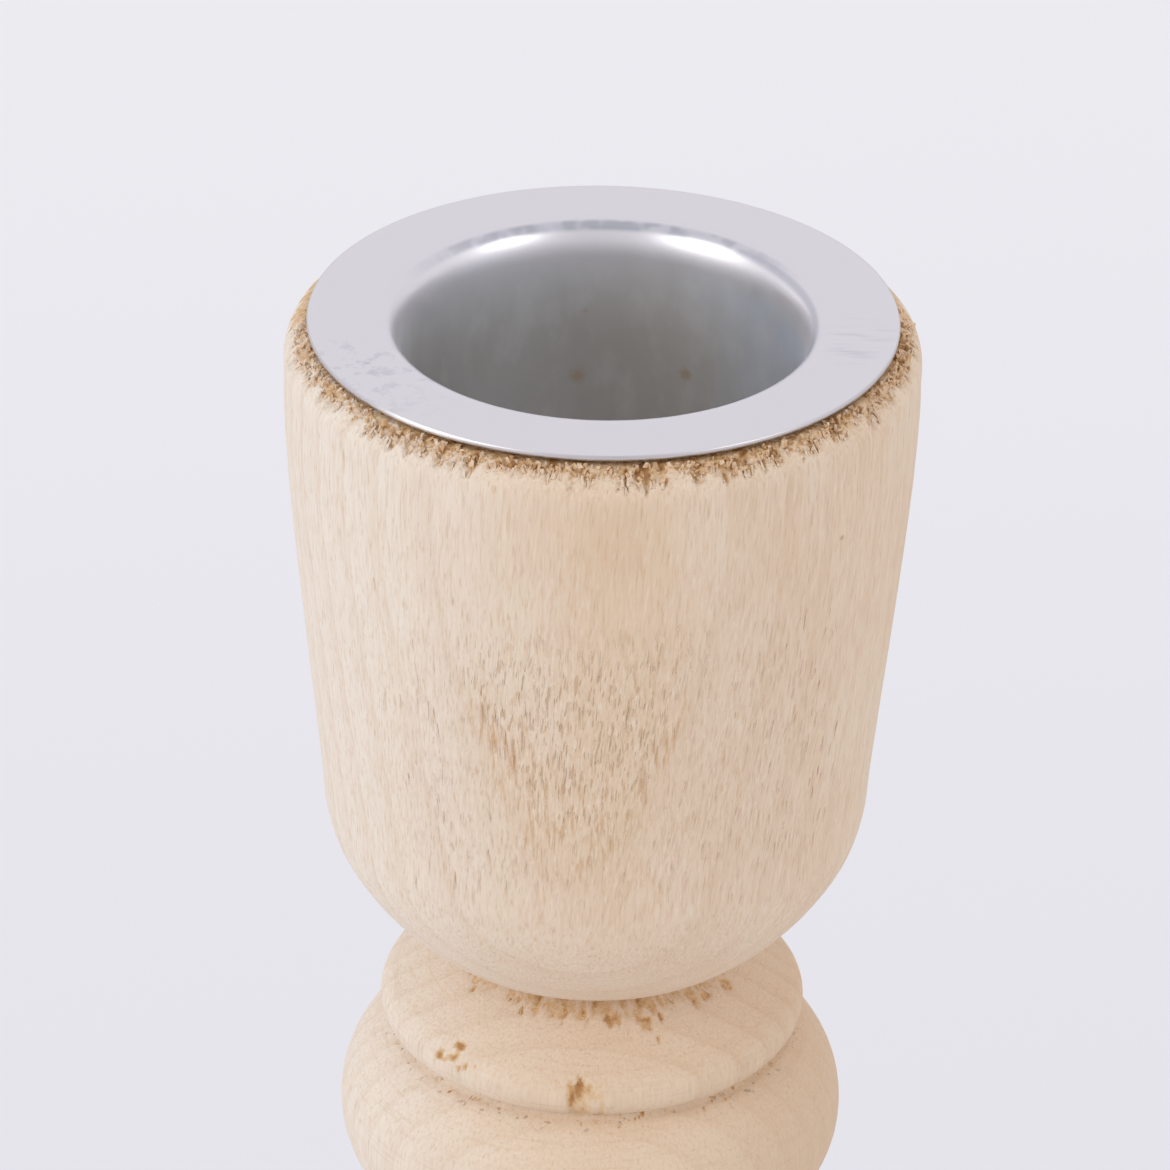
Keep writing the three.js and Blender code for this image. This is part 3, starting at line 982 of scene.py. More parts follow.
def vector_of(tree, operation, *values):
    made = add_node(tree, "ShaderNodeVectorMath", dict(enumerate(values)), operation=operation)
    return made.outputs["Value" if operation == "LENGTH" else "Vector"]


def from_axis(tree, position):
    """The distance of a position from the upright axis."""
    return vector_of(tree, "LENGTH", vector_of(tree, "MULTIPLY", position, (1, 1, 0)))


def tilted(tree, position, angle):
    """A position turned about the Y axis."""
    values = {"Vector": position, "Rotation": (0, angle, 0)}
    return add_node(tree, "ShaderNodeMapping", values).outputs[0]


print("a middle grey is", round(colour(128, 128, 128)[0], 2), "in a socket")

# %% Masks, tints and noise
SPOT_FADE = (1.3, 0.2)
SPOT_LUMPS = 4
ROUGHNESS_DETAIL = 3.0


def mask_of(tree, value, low, high):
    """0 where the value is at low, 1 where it is at high, with a soft change between."""
    ends = {"Value": value, "From Min": low, "From Max": high}
    return add_node(tree, "ShaderNodeMapRange", ends, interpolation_type="SMOOTHSTEP").outputs[0]


def band_of(tree, value, rise, fall):
    """1 between a soft rise and a soft fall, and 0 outside them."""
    return product_of(tree, mask_of(tree, value, *rise), mask_of(tree, value, *fall))


def tinted(tree, base, tint, *shares):
    """The base colour, mixed with a tint by the product of the given masks and shares."""
    values = {0: product_of(tree, *shares), 6: base, 7: tint}
    return add_node(tree, "ShaderNodeMix", values, data_type="RGBA").outputs[2]


def noise_of(tree, position, scale=1.0, detail=2.0, roughness=0.5):
    values = {"Vector": position, "Scale": scale, "Detail": detail, "Roughness": roughness}
    return add_node(tree, "ShaderNodeTexNoise", values).outputs[0]


def centred(tree, value):
    """Noise from 0 to 1, moved to lie evenly about 0."""
    return math_of(tree, "SUBTRACT", value, 0.5)


def fibres_of(tree, position, across, along, detail=2.0, roughness=0.5):
    """Noise with so many lumps per millimetre across the fibres and along them."""
    stretched = vector_of(tree, "MULTIPLY", position, (across, across, along))
    return noise_of(tree, stretched, 1.0, detail, roughness)


def spot_of(tree, position, centre, width, length, ragged=0.0):
    """1 in an upright oval on the surface and 0 outside it. Millimetres, with noise in its edge."""
    away = vector_of(tree, "SUBTRACT", position, centre)
    oval = vector_of(tree, "LENGTH", vector_of(tree, "MULTIPLY", away, (2 / width, 2 / width, 2 / length)))
    if ragged:
        rough = centred(tree, noise_of(tree, position, SPOT_LUMPS / width))
        oval = graded_of(tree, rough, oval, ragged)
    return mask_of(tree, oval, *SPOT_FADE)


def roughness_of(tree, position, scale, least, most):
    """A roughness that changes over the surface between two values."""
    values = {"Value": noise_of(tree, position, scale, ROUGHNESS_DETAIL), "To Min": least, "To Max": most}
    return add_node(tree, "ShaderNodeMapRange", values).outputs[0]


print("a spot fades out at", SPOT_FADE[0], "of its radius")

# %% Groups and materials


def new_group(name, inputs, outputs):
    """An empty node group with named sockets, and its input and output nodes."""
    tree = bpy.data.node_groups.new(name, "ShaderNodeTree")
    for socket, kind, value in inputs:
        made = tree.interface.new_socket(socket, in_out="INPUT", socket_type=kind)
        if value is not None:
            made.default_value = value
    for socket, kind in outputs:
        tree.interface.new_socket(socket, in_out="OUTPUT", socket_type=kind)
    return tree, tree.nodes.new("NodeGroupInput"), tree.nodes.new("NodeGroupOutput")


def new_material(name):
    """A material with a Principled shader, and its object position in millimetres."""
    material = bpy.data.materials.new(name)
    material.use_nodes = True
    tree = material.node_tree
    place = add_node(tree, "ShaderNodeTexCoord").outputs["Object"]
    position = vector_of(tree, "MULTIPLY", place, (1 / MM,) * 3)
    return material, tree, tree.nodes["Principled BSDF"], position


print("node helpers are ready")

# %% [markdown]
# ## Wood grain, shared by every wooden piece
# A trunk grows in rings round its pith, so the figure on a turned piece is where its surface cuts those
# rings. It could be drawn as stripes, but then it would not bend at the cup's foot as real grain does.
# The group measures each point's distance from the pith, a line beside the piece and along its fibres, and
# makes a ring of it every few millimetres. Fine noise, drawn out along the fibres, gives streaks and pores.

# %% Grain group
GRAIN_INPUTS = (
    ("Position", "NodeSocketVector", None),
    ("Pith Offset", "NodeSocketVector", (0, 0, 0)),
    ("Ring Spacing", "NodeSocketFloat", 2.4),
    ("Ring Phase", "NodeSocketFloat", 0.0),
    ("Pale", "NodeSocketColor", (1, 1, 1, 1)),
    ("Warm", "NodeSocketColor", (1, 1, 1, 1)),
    ("Late", "NodeSocketColor", (1, 1, 1, 1)),
)
GRAIN_OUTPUTS = (
    ("Color", "NodeSocketColor"),
    ("Late Wood", "NodeSocketFloat"),
    ("Pith Distance", "NodeSocketFloat"),
    ("Height", "NodeSocketFloat"),
)
WANDER = (0.12, 0.04, 1.0)
WANDER_WIDTH = 0.7
LATE_POWER = 3.0
LATE_END = (1.0, 0.9)
STREAKS = (5.5, 0.35, 3.0, 0.6)
STREAK_FADE = (0.38, 0.7)
STREAK_SHARE = 0.22
PORES = (6.0, 0.7, 1.0)
PORE_FADE = (0.58, 0.75)
PORE_SHARE = 0.28
PORE_DEPTH = -0.5
MOTTLE = (0.2, 0.1)
MOTTLE_FADE = (0.15, 0.9)


def make_grain_group():
    tree, given, result = new_group("wood_grain", GRAIN_INPUTS, GRAIN_OUTPUTS)
    position, late_colour = given.outputs["Position"], given.outputs["Late"]
    plain = from_axis(tree, vector_of(tree, "SUBTRACT", position, given.outputs["Pith Offset"]))
    distance = graded_of(tree, centred(tree, fibres_of(tree, position, *WANDER)), plain, WANDER_WIDTH)
    phase = math_of(tree, "SUBTRACT", distance, given.outputs["Ring Phase"])
    turns = math_of(tree, "FRACT", math_of(tree, "DIVIDE", phase, given.outputs["Ring Spacing"]))
    late = product_of(tree, math_of(tree, "POWER", turns, LATE_POWER), mask_of(tree, turns, *LATE_END))
    streaks = fibres_of(tree, position, *STREAKS)
    pores = mask_of(tree, fibres_of(tree, position, *PORES), *PORE_FADE)
    mottle = mask_of(tree, fibres_of(tree, position, *MOTTLE), *MOTTLE_FADE)
    wood = tinted(tree, given.outputs["Pale"], given.outputs["Warm"], mottle)
    wood = tinted(tree, wood, late_colour, mask_of(tree, streaks, *STREAK_FADE), STREAK_SHARE)
    wood = tinted(tree, wood, late_colour, pores, PORE_SHARE)
    height = graded_of(tree, pores, streaks, PORE_DEPTH)
    found = {"Color": wood, "Late Wood": late, "Pith Distance": distance, "Height": height}
    for name, socket in found.items():
        tree.links.new(socket, result.inputs[name])
    return tree


grain_group = make_grain_group()
print("grain group with", len(grain_group.nodes), "nodes")

# %% [markdown]
# ## The column's wood
# Raw wood is pale, a little warm, and dull. On this cup one growth ring shows as a V that points down,
# because the cup narrows there, and inside it the fibres are torn up into a nap of short strokes. The V could
# be painted on by hand, but the nap has to fill it. So the mask of the nap comes from the same pith distance
# as the ring. Brown is kept for the torn places, read from the "torn" attribute of the mesh, and for a few
# marks whose places are read off the photo. That attribute also holds painted shade under the flange, in the
# V under the cup's foot and along the groove.

# %% Wood colours and fresh wood
PALE_WOOD = colour(233, 214, 191)
LEFT_PALE_WOOD = colour(241, 232, 219)
WARM_WOOD = colour(228, 204, 176)
LATE_WOOD = colour(203, 168, 130)
PITH = (PITH_SIDE / MM, PITH_BACK / MM, 0)
RING_SPACING = 1.9
WARM_BELOW = (112, 106)
WARM_SHARE = 0.7
LEFT_PALE_SIDE = (1, -16)
LEFT_PALE_SHARE = 0.85
DARK_SIDE = (4, 14)
DARK_SHARE = 0.4
LINED_SIDE = (2, 8)
LINED_FOOT = (104.5, 105.5)
LINE_GRADE = (0.2, 0.2)


def place_grain(tree, position, pith, spacing, phase, pale=PALE_WOOD, warm=WARM_WOOD):
    """The grain group with one piece's own pith, rings and colours."""
    values = {"Position": position, "Pith Offset": pith, "Ring Spacing": spacing, "Ring Phase": phase}
    values.update({"Pale": pale, "Warm": warm, "Late": LATE_WOOD})
    return add_node(tree, "ShaderNodeGroup", values, node_tree=grain_group).outputs


def fresh_wood(tree, position, axes, low):
    """The column's wood where nothing is torn: paler towards the left, warmer wood below the cup."""
    # The wood is made paler towards the left side.
    left_pale = product_of(tree, mask_of(tree, axes[0], *LEFT_PALE_SIDE), LEFT_PALE_SHARE)
    dark = product_of(tree, low, mask_of(tree, axes[0], *DARK_SIDE), DARK_SHARE)
    pale = tinted(tree, PALE_WOOD, WARM_WOOD, low, WARM_SHARE)
    pale, warm = (tinted(tree, wood, LEFT_PALE_WOOD, left_pale) for wood in (pale, WARM_WOOD))
    pale, warm = (tinted(tree, wood, LATE_WOOD, dark) for wood in (pale, warm))
    grain = place_grain(tree, position, PITH, RING_SPACING, FIGURE, pale, warm)
    above_groove = mask_of(tree, axes[2], *LINED_FOOT)
    ring_side = product_of(tree, low, mask_of(tree, axes[0], *LINED_SIDE), above_groove)
    line_share = graded_of(tree, ring_side, *LINE_GRADE)
    return tinted(tree, grain["Color"], LATE_WOOD, grain["Late Wood"], line_share), grain


print("growth ring of the V", round(FIGURE, 2), "mm from the pith")

# %% Figure, nap and torn wood
STAIN = colour(216, 184, 147)
GOLDEN = colour(200, 157, 106)
TORN_LIGHT = colour(222, 187, 143)
TORN_BROWN_AND_SHADE = colour(180, 131, 80)
TORN_DARK_AND_SHADE = colour(122, 82, 46)
TORN_AND_SHADE_TINTS = ((TORN_LIGHT, 0.0, 0.3), (TORN_BROWN_AND_SHADE, 0.25, 0.65), (TORN_DARK_AND_SHADE, 0.6, 1.0))
TORN_FROM = (0.0, 0.15)
CRUMBLE_GRADE = (-0.48, 0.9)
V_OUTER = (FIGURE - 0.4, FIGURE)
V_INNER = (FIGURE + 0.9, FIGURE + 0.1)
V_TOP = (137, 133)
V_STAIN = 0.2
V_STREAKS = (4.6, 0.36)
V_STREAK_FADE = (0.52, 0.66)
V_GOLDEN = 0.6
STAIN_PLACE = (1.2, -17.5, 145.6)
STAIN_SIZE = (6.5, 6.0)
STAIN_SHARE = 0.4
Mark = namedtuple("Mark", "angle height width length strength")
MARKS = (
    Mark(-21.7, 133.4, 0.5, 1.9, 0.5),
    Mark(-16.0, 130.8, 0.5, 2.8, 0.6),
    Mark(-12.5, 129.3, 0.5, 1.8, 0.4),
    Mark(8.9, 129.8, 0.6, 2.2, 0.5),
    Mark(12.8, 132.6, 0.5, 1.6, 0.3),
    Mark(48.6, 142.8, 0.4, 0.4, 0.6),
)
MARK_RAGGED = 1.2


def figured_wood(tree, position, axes, wood, distance):
    """Adds the V of the growth ring, the stain under the rim and the brown marks."""
    edge = product_of(tree, band_of(tree, distance, V_OUTER, V_INNER), mask_of(tree, axes[2], *V_TOP))
    wood = tinted(tree, wood, STAIN, edge, V_STAIN)
    streaks = mask_of(tree, fibres_of(tree, position, *V_STREAKS), *V_STREAK_FADE)
    wood = tinted(tree, wood, GOLDEN, edge, streaks, V_GOLDEN)
    wood = tinted(tree, wood, STAIN, spot_of(tree, position, STAIN_PLACE, *STAIN_SIZE), STAIN_SHARE)
    for mark in MARKS:
        centre = surface_point(mark.angle, rim_top - mark.height * MM) / MM
        spot = spot_of(tree, position, centre, mark.width, mark.length, MARK_RAGGED)
        wood = tinted(tree, wood, TORN_BROWN_AND_SHADE, spot, mark.strength)
    return wood


def nap_mask(tree, axes, distance):
    """The same share of raised fibres as nap_share gives, as nodes."""
    wide = band_of(tree, axes[0], NAP_LEFT, NAP_RIGHT)
    beside = product_of(tree, wide, mask_of(tree, axes[1], *NAP_FRONT), NAP_SIDE_SHARE)
    raised = math_of(tree, "MAXIMUM", mask_of(tree, distance, *V_EDGE), beside)
    return product_of(tree, raised, band_of(tree, axes[2], NAP_TOP, NAP_FOOT))


def torn_and_shaded_wood(tree, wood, torn, crumble):
    """Wood that turns golden, brown and dark with how torn it is, more in the crumbled fibres. The torn value
    also carries painted shade.
    """
    ragged = math_of(tree, "ADD", torn, graded_of(tree, crumble, *CRUMBLE_GRADE))
    torn = product_of(tree, mask_of(tree, torn, *TORN_FROM), ragged)
    for tint, start, full in TORN_AND_SHADE_TINTS:
        wood = tinted(tree, wood, tint, mask_of(tree, torn, start, full))
    return wood


print(len(MARKS), "brown marks on the cup")

# %% Fine fibres and tool lines
# Dark fibres of the grain, and the painted shadows of the nap's raised fibres.
DARK_FIBRE_AND_SHADOW = colour(190, 151, 108)
LIGHT_FIBRE = colour(243, 229, 210)
FIBRE_LEAN = math.radians(-5)
FINE_FIBRES = (7.5, 0.65)
FINE_DARK = (0.55, 0.75)
FINE_LIGHT = (0.45, 0.25)
FINE_GRADE = (0.32, -0.2)
TOOL_LINES = (0.3, 7.0)
TOOL_FADE = (0.5, 0.75)
TOOL_GRADE = (0.04, 0.18)


def lined_wood(tree, wood, low, fine, tool_lines):
    """Adds fine dark and light fibres, and the faint rings that the tool has left."""
    fine_share = graded_of(tree, low, *FINE_GRADE)
    wood = tinted(tree, wood, DARK_FIBRE_AND_SHADOW, mask_of(tree, fine, *FINE_DARK), fine_share)
    wood = tinted(tree, wood, LIGHT_FIBRE, mask_of(tree, fine, *FINE_LIGHT), fine_share)
    tool_share = graded_of(tree, low, *TOOL_GRADE)
    return tinted(tree, wood, LATE_WOOD, mask_of(tree, tool_lines, *TOOL_FADE), tool_share)


print("fibres lean by", round(math.degrees(FIBRE_LEAN)), "degrees")

# %% Strokes of the nap, and dust in the groove
DUST = colour(146, 112, 84)
NAP_STAIN = 0.08
NAP_STROKES = (5.0, 0.45, 1.5)
NAP_DASHES = (7.8, 0.6, 1.0)
NAP_LIGHT = (8.84, 0.85, 1.0)
NAP_FADE = (0.58, 0.7)
NAP_LIGHT_SHARE = 0.4
NAP_DASH_SHARE = 0.52
GROOVE_HEIGHT = (rim_top - groove_drop) / MM
DUST_ABOVE = (GROOVE_HEIGHT + 0.3, GROOVE_HEIGHT + 0.1)
DUST_BELOW = (GROOVE_HEIGHT - 0.9, GROOVE_HEIGHT - 0.3)
DUST_SPECKS = (2.4, 3.6)
DUST_FADE = (0.6, 0.7)
DUST_SHARE = 0.6


def napped_wood(tree, wood, nap, leaning, dashes):
    """Adds the light fibres of the nap, and its dark dashes: pits with painted shadows of the raised fibres.
    """
    light = mask_of(tree, fibres_of(tree, leaning, *NAP_LIGHT), *NAP_FADE)
    wood = tinted(tree, wood, LIGHT_FIBRE, light, nap, NAP_LIGHT_SHARE)
    return tinted(tree, wood, DARK_FIBRE_AND_SHADOW, dashes, nap, NAP_DASH_SHARE)


def dusty_wood(tree, position, axes, wood):
    """Adds specks of dust in the groove."""
    groove = band_of(tree, axes[2], DUST_ABOVE, DUST_BELOW)
    specks = mask_of(tree, fibres_of(tree, position, *DUST_SPECKS), *DUST_FADE)
    return tinted(tree, wood, DUST, groove, specks, DUST_SHARE)


print("groove", round(GROOVE_HEIGHT, 1), "mm above the table")

# %% Column wood
WOOD_ROUGHNESS = 0.7
WOOD_SPECULAR = 0.3
CRUMBLE = (3.6, 2.0, 3.0, 0.6)
CRUMBLE_FROM = (0.0, 0.4)
DASH_DEPTH = -0.5
NAP_HEIGHT = 1.2
GRAIN_HEIGHT = 0.5
FINE_DEPTH = -0.5
TOOL_DEPTH = -0.15
CRUMBLE_DEPTH = -3.5
WOOD_BUMP = 0.05 * MM


def set_bump(tree, shader, height, distance):
    bump = add_node(tree, "ShaderNodeBump", {"Height": height, "Distance": distance})
    tree.links.new(bump.outputs[0], shader.inputs["Normal"])


def column_wood():
    material, tree, shader, position = new_material("column_wood")
    axes = axes_of(tree, position)
    low = mask_of(tree, axes[2], *WARM_BELOW)
    leaning = tilted(tree, position, FIBRE_LEAN)
    fine = fibres_of(tree, leaning, *FINE_FIBRES)
    tool_lines = fibres_of(tree, position, *TOOL_LINES)
    # Dashes of the nap: pits and painted shadows of the raised fibres, also used as a bump.
    dashes = mask_of(tree, fibres_of(tree, leaning, *NAP_DASHES), *NAP_FADE)
    crumble = fibres_of(tree, position, *CRUMBLE)
    # The torn attribute also carries painted shade under the flange, in the V under the cup and in the
    # groove.
    torn = add_node(tree, "ShaderNodeAttribute", attribute_name="torn").outputs["Fac"]
    wood, grain = fresh_wood(tree, position, axes, low)
    wood = figured_wood(tree, position, axes, wood, grain["Pith Distance"])
    nap = nap_mask(tree, axes, grain["Pith Distance"])
    wood = tinted(tree, wood, STAIN, nap, NAP_STAIN)
    wood = lined_wood(tree, wood, low, fine, tool_lines)
    wood = napped_wood(tree, wood, nap, leaning, dashes)
    wood = dusty_wood(tree, position, axes, wood)
    tree.links.new(torn_and_shaded_wood(tree, wood, torn, crumble), shader.inputs["Base Color"])
    shader.inputs["Roughness"].default_value = WOOD_ROUGHNESS
    shader.inputs["Specular IOR Level"].default_value = WOOD_SPECULAR
    dented = graded_of(tree, dashes, fibres_of(tree, leaning, *NAP_STROKES), DASH_DEPTH)
    crumbled = product_of(tree, mask_of(tree, torn, *CRUMBLE_FROM), centred(tree, crumble))
    height = product_of(tree, dented, nap, NAP_HEIGHT)
    for relief, gain in (
        (grain["Height"], GRAIN_HEIGHT),
        (fine, FINE_DEPTH),
        (tool_lines, TOOL_DEPTH),
        (crumbled, CRUMBLE_DEPTH),
    ):
        height = graded_of(tree, relief, height, gain)
    set_bump(tree, shader, height, WOOD_BUMP)
    return material


column_finish = column_wood()
for name in ("turned_column", "torn_rim", "ring_splinters", "cup_nap"):
    pieces[name].data.materials.append(column_finish)
print("column wood with", len(column_finish.node_tree.nodes), "nodes")

# %% Foot wood
FOOT_PITH = (38.0, 6.0, 0.0)
FOOT_SPACING = 2.6
FOOT_LINES = 0.3
FOOT_BUMP = 0.03 * MM
LAID_FLAT = math.radians(90)


def foot_wood():
    material, tree, shader, position = new_material("foot_wood")
    grain = place_grain(tree, tilted(tree, position, LAID_FLAT), FOOT_PITH, FOOT_SPACING, 0.0)
    wood = tinted(tree, grain["Color"], LATE_WOOD, grain["Late Wood"], FOOT_LINES)
    tree.links.new(wood, shader.inputs["Base Color"])
    shader.inputs["Roughness"].default_value = WOOD_ROUGHNESS
    set_bump(tree, shader, grain["Height"], FOOT_BUMP)
    return material


pieces["turned_foot"].data.materials.append(foot_wood())
print("foot rings", FOOT_SPACING, "mm apart")

# %% [markdown]
# ## Aluminium and steel
# The insert is bare sheet with a satin face from rolling. Inside the bore the press has left it duller, with
# drawn lines, pale clouds and a few rust-brown specks. Its colour also holds painted shade deeper in the
# bore, a painted bluish reflection on the bore's right, a painted dark reflection along the lip's press
# marks, a painted grey reflection on the sheared edge of the flange and a painted highlight on that edge at
# the front left. One even metal could do for a small part far off, but from so near it would look like
# plastic. So each place gets its own tone from its height and its distance to the axis.

# %% Tone of the bore
BORE_FACE = colour(229, 229, 229)
BORE_FADE = (1.0, 3.4)
BLUE_REFLECTION = colour(232, 240, 253)
BLUE_REFLECTION_FADE = (3.0, 10.0)
BLUE_REFLECTION_SHARE = 0.8
BORE_SHADE = colour(210, 207, 202)
BORE_SHADE_FADE = (1.8, 7.4)
SMUDGE = colour(180, 174, 164)
PRESS_LINES = (0.5, 0.16, 3.0)
PRESS_FADE = (0.5, 0.75)
PRESS_SHARE = 0.1
BORE_CLOUD = colour(246, 247, 247)
BORE_CLOUDS = (0.55, 0.3, 5.0, 0.6)
CLOUD_FADE = (0.46, 0.7)
CLOUD_SHARE = 0.22
RUST = colour(200, 160, 108)
SPECKS = ((-172.6, 140.6, 1.0, 0.45), (155.3, 141.3, 0.9, 0.45), (-174.6, 144.8, 0.4, 0.3))
SPECK_RAGGED = 0.8
BORE_RADIUS = 11.3


def insert_point(angle, radius, height):
    return out_from(angle) * radius + UP * height


def bore_tone(tree, position, axes, depth, face):
    """The bore is duller towards its floor, with painted shade deeper down, a painted bluish reflection on
    its right, and faint marks.
    """
    bore = mask_of(tree, depth, *BORE_FADE)
    face = tinted(tree, face, BORE_FACE, bore)
    # Painted reflection: a bluish tint on the right of the bore.
    right = product_of(tree, bore, mask_of(tree, axes[0], *BLUE_REFLECTION_FADE))
    face = tinted(tree, face, BLUE_REFLECTION, right, BLUE_REFLECTION_SHARE)
    away_from_right = graded_of(tree, right, 1.0, -BLUE_REFLECTION_SHARE)
    # Painted shade: the bore gets darker deeper down.
    face = tinted(tree, face, BORE_SHADE, mask_of(tree, depth, *BORE_SHADE_FADE), away_from_right)
    lines = mask_of(tree, fibres_of(tree, position, *PRESS_LINES), *PRESS_FADE)
    face = tinted(tree, face, SMUDGE, lines, bore, PRESS_SHARE)
    clouds = mask_of(tree, fibres_of(tree, position, *BORE_CLOUDS), *CLOUD_FADE)
    face = tinted(tree, face, BORE_CLOUD, clouds, bore, CLOUD_SHARE)
    for angle, height, width, strength in SPECKS:
        centre = insert_point(angle, BORE_RADIUS, height)
        face = tinted(tree, face, RUST, spot_of(tree, position, centre, width, width, SPECK_RAGGED), strength)
    return face


print(len(SPECKS), "specks in the bore")

# %% Marks on the flange and the lip
SCUFF = colour(203, 201, 210)
SCUFF_SHARE = 0.6
SCUFFS = ((-56, 14.9, 9.0), (-68, 14.6, 5.0))
SCUFF_NOISE = (0.9, 4.0, 0.65)
SCUFF_FADE = (0.5, 0.66)
SMEARS = ((84, 14.4, 4.0), (74, 14.2, 3.0))
SMEAR_STRETCH = (0.3, 2.0, 1.0)
SMEAR_NOISE = (1.0, 3.0)
SMEAR_FADE = (0.45, 0.7)
LIP_MARK_AND_REFLECTION = colour(160, 164, 174)
BACK_BAND = ((11.65, 11.85), (12.35, 12.05))
BACK_FADE = (4.0, 11.6)
BACK_NOISE = (0.9, 1.0)
BACK_BROKEN = (0.35, 0.6)
BACK_GRADE = (0.35, 0.35)
RIGHT_LINE = ((11.6, 11.75), (12.05, 11.85))
RIGHT_FADE = (6.0, 10.0)
RIGHT_SHARE = 0.4


def flange_marks(tree, position, face):
    """Adds the cloudy scuffs on the flange's left and the wiped smears on its right."""
    scuffed = mask_of(tree, noise_of(tree, position, *SCUFF_NOISE), *SCUFF_FADE)
    along_x = vector_of(tree, "MULTIPLY", position, SMEAR_STRETCH)
    wiped = mask_of(tree, noise_of(tree, along_x, *SMEAR_NOISE), *SMEAR_FADE)
    for places, cloudy in ((SCUFFS, scuffed), (SMEARS, wiped)):
        for angle, radius, width in places:
            spot = spot_of(tree, position, insert_point(angle, radius, flange_top / MM), width, width)
            face = tinted(tree, face, SCUFF, spot, cloudy, SCUFF_SHARE)
    return face


def lip_marks_and_reflections(tree, position, axes, radius, face):
    """Adds the grey marks of the press on the lip, darkened further as a painted dark reflection: a broken
    band at the back, a fine line at the right.
    """
    broken = mask_of(tree, noise_of(tree, position, *BACK_NOISE), *BACK_BROKEN)
    shade = graded_of(tree, broken, *BACK_GRADE)
    back = mask_of(tree, axes[1], *BACK_FADE)
    # Press marks with a painted dark reflection on the lip.
    face = tinted(tree, face, LIP_MARK_AND_REFLECTION, band_of(tree, radius, *BACK_BAND), back, shade)
    right = mask_of(tree, axes[0], *RIGHT_FADE)
    return tinted(tree, face, LIP_MARK_AND_REFLECTION, band_of(tree, radius, *RIGHT_LINE), right, RIGHT_SHARE)


print(len(SCUFFS), "scuffs and", len(SMEARS), "smears on the flange")

# %% Aluminium
FLANGE_FACE = colour(233, 230, 234)
PALE_TINT_AND_HIGHLIGHT = colour(252, 252, 252)
PALE_LIP_BAND = ((0.3, 0.8), (3.0, 1.6))
PALE_LIP_SHARE = 0.2
EDGE_REFLECTION_GREY = colour(212, 209, 210)
EDGE_HIGHLIGHT_ANGLE = -37
EDGE_HIGHLIGHT_WIDTH = 6.0
FACE_ROUGHNESS = (0.6, 0.25, 0.36)
DULL_FADE = (0.3, 2.2)
BORE_DULLER = 0.26
EDGE_DULLER = 0.1
flange_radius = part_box("candle_insert")[1].x / MM
SHEARED_FROM = (flange_radius - 0.09, flange_radius - 0.03)


def aluminium():
    material, tree, shader, position = new_material("satin_aluminium")
    shader.inputs["Metallic"].default_value = 1.0
    axes = axes_of(tree, position)
    radius = from_axis(tree, position)
    depth = math_of(tree, "SUBTRACT", flange_top / MM, axes[2])
    face = flange_marks(tree, position, FLANGE_FACE)
    face = bore_tone(tree, position, axes, depth, face)
    # A paler band on the lip and the top of the bore.
    face = tinted(tree, face, PALE_TINT_AND_HIGHLIGHT, band_of(tree, depth, *PALE_LIP_BAND), PALE_LIP_SHARE)
    face = lip_marks_and_reflections(tree, position, axes, radius, face)
    edge = mask_of(tree, radius, *SHEARED_FROM)
    # Painted reflection: the flange's edge is a darker grey, as if it mirrored the darker room in front.
    face = tinted(tree, face, EDGE_REFLECTION_GREY, edge)
    # Painted highlight of the left lamp on the flange's edge at the front left.
    edge_highlight_place = insert_point(EDGE_HIGHLIGHT_ANGLE, flange_radius, flange_top / MM)
    face = tinted(tree, face, PALE_TINT_AND_HIGHLIGHT, spot_of(tree, position, edge_highlight_place, EDGE_HIGHLIGHT_WIDTH, EDGE_HIGHLIGHT_WIDTH), edge)
    tree.links.new(face, shader.inputs["Base Color"])
    level = roughness_of(tree, position, *FACE_ROUGHNESS)
    level = graded_of(tree, mask_of(tree, depth, *DULL_FADE), level, BORE_DULLER)
    tree.links.new(graded_of(tree, edge, level, EDGE_DULLER), shader.inputs["Roughness"])
    return material


pieces["pressed_insert"].data.materials.append(aluminium())
print("flange radius", round(flange_radius, 2), "mm")

# %% Screw steel
ZINC = colour(200, 198, 190)
ZINC_ROUGHNESS = (1.5, 0.25, 0.45)


def screw_steel():
    material, tree, shader, position = new_material("zinc_steel")
    shader.inputs["Metallic"].default_value = 1.0
    shader.inputs["Base Color"].default_value = ZINC
    tree.links.new(roughness_of(tree, position, *ZINC_ROUGHNESS), shader.inputs["Roughness"])
    return material


screw_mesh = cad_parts["base_screw"].data
screw_mesh.materials.clear()
screw_mesh.materials.append(screw_steel())
print("screw finish on", len(screw_mesh.materials), "slot")

# %% [markdown]
# ## Floor and light
# The picture has a plain, pale, slightly lilac ground and soft light from all round. Two highlights on the
# lip of the insert give away two soft lamps in front, one at each side, and the paler left side of the wood
# says that the left one is the stronger. The world gives the soft light. It is a little darker in front,
# where the camera stands, so that the metal has something to reflect.

# %% Floor
FLOOR_SIZE = 4.0
FLOOR_CELLS = 8
FLOOR_ROUGHNESS = 0.9
FLOOR_SPECULAR = 0.1
DIM_NEAR_FLOOR = colour(236, 236, 239)
LIT_FAR_FLOOR = colour(248, 248, 249)
FLOOR_FALLOFF_FADE = (100, 400)

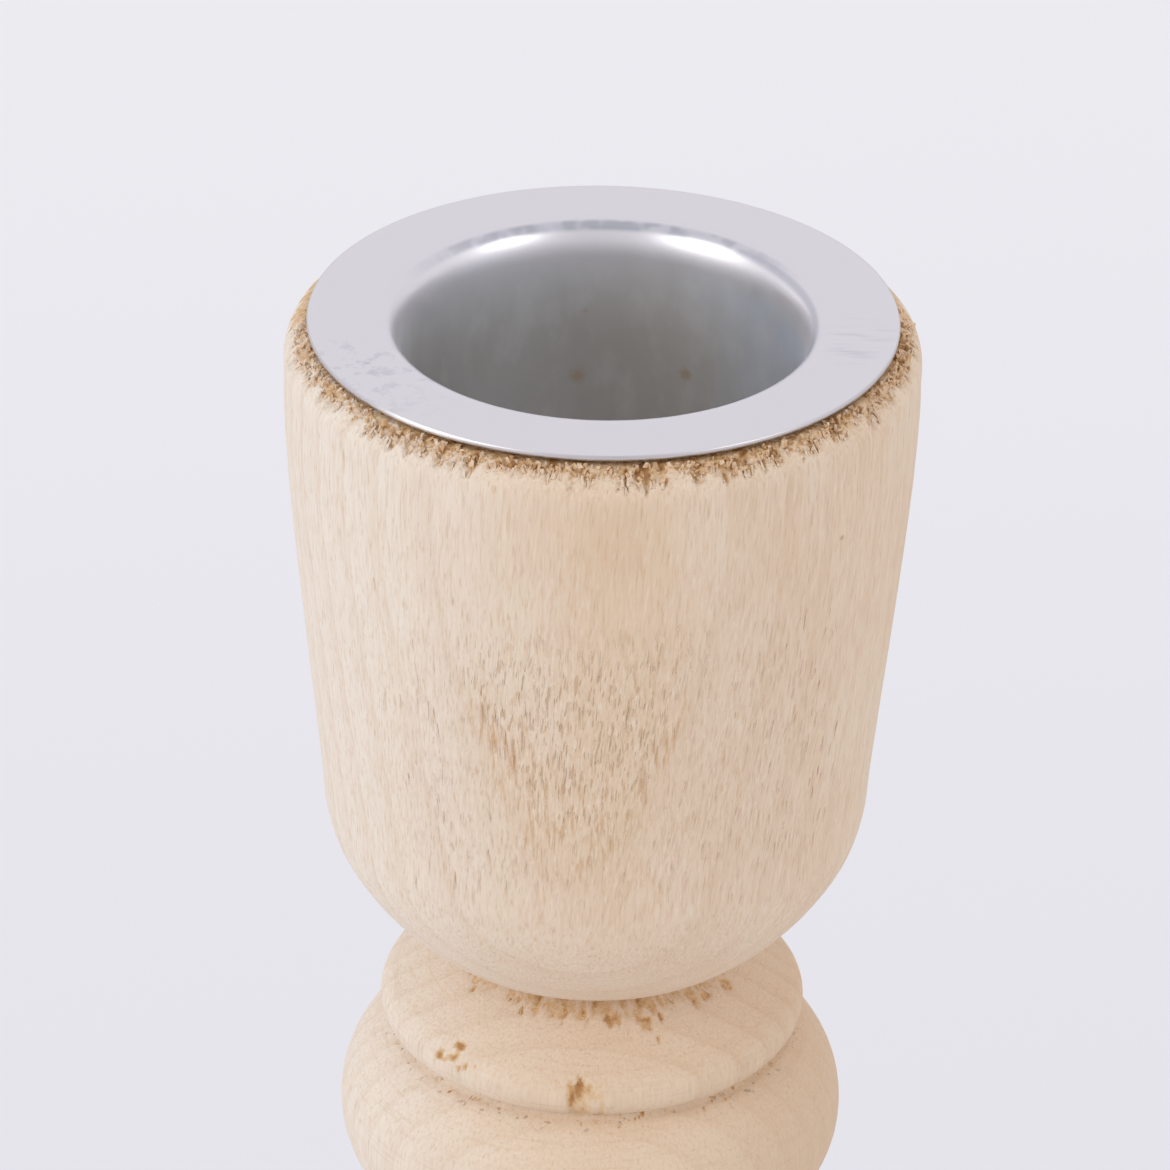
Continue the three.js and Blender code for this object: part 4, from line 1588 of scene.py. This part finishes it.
floor_bm = bmesh.new()
bmesh.ops.create_grid(floor_bm, x_segments=FLOOR_CELLS, y_segments=FLOOR_CELLS, size=FLOOR_SIZE / 2)
floor_mesh = bpy.data.meshes.new("floor")
floor_bm.to_mesh(floor_mesh)
floor_bm.free()
floor = bpy.data.objects.new("floor", floor_mesh)
bpy.context.collection.objects.link(floor)


def floor_with_painted_falloff():
    material, tree, shader, position = new_material("floor_with_painted_falloff")
    away = axes_of(tree, position)[1]
    # Painted light falloff: the floor is darker near the stick and brighter further off.
    falloff_tone = tinted(tree, DIM_NEAR_FLOOR, LIT_FAR_FLOOR, mask_of(tree, away, *FLOOR_FALLOFF_FADE))
    tree.links.new(falloff_tone, shader.inputs["Base Color"])
    shader.inputs["Roughness"].default_value = FLOOR_ROUGHNESS
    shader.inputs["Specular IOR Level"].default_value = FLOOR_SPECULAR
    return material


floor_mesh.materials.append(floor_with_painted_falloff())
print("floor", FLOOR_SIZE, "m wide")

# %% World and lamps
SKY = colour(236, 235, 240)
DARK_SKY = colour(212, 211, 216)
SKY_STRENGTH = 0.98
FRONT_FADE = (-0.3, -0.9)
AIM = Vector((0, 0, 0.12))
Lamp = namedtuple("Lamp", "name place width power")
LAMPS = (
    Lamp("left_softbox", (-0.82, -0.56, 0.64), 0.5, 2.95),
    Lamp("right_softbox", (0.82, -0.56, 0.68), 0.4, 1.4),
)

world = bpy.data.worlds.new("soft_room")
bpy.context.scene.world = world
world.use_nodes = True
sky_tree = world.node_tree
towards = add_node(sky_tree, "ShaderNodeTexCoord").outputs["Generated"]
front = mask_of(sky_tree, axes_of(sky_tree, towards)[1], *FRONT_FADE)
sky = sky_tree.nodes["Background"]
sky_tree.links.new(tinted(sky_tree, SKY, DARK_SKY, front), sky.inputs["Color"])
sky.inputs["Strength"].default_value = SKY_STRENGTH

for lamp in LAMPS:
    softbox = bpy.data.lights.new(lamp.name, "AREA")
    softbox.shape = "SQUARE"
    softbox.size = lamp.width
    softbox.energy = lamp.power
    stand = bpy.data.objects.new(lamp.name, softbox)
    stand.location = lamp.place
    stand.rotation_euler = (AIM - Vector(lamp.place)).to_track_quat("-Z", "Y").to_euler()
    bpy.context.collection.objects.link(stand)
bpy.context.scene.view_settings.view_transform = "Standard"
bpy.context.scene.view_settings.look = "None"
print("world and", len(bpy.data.lights), "lamps")
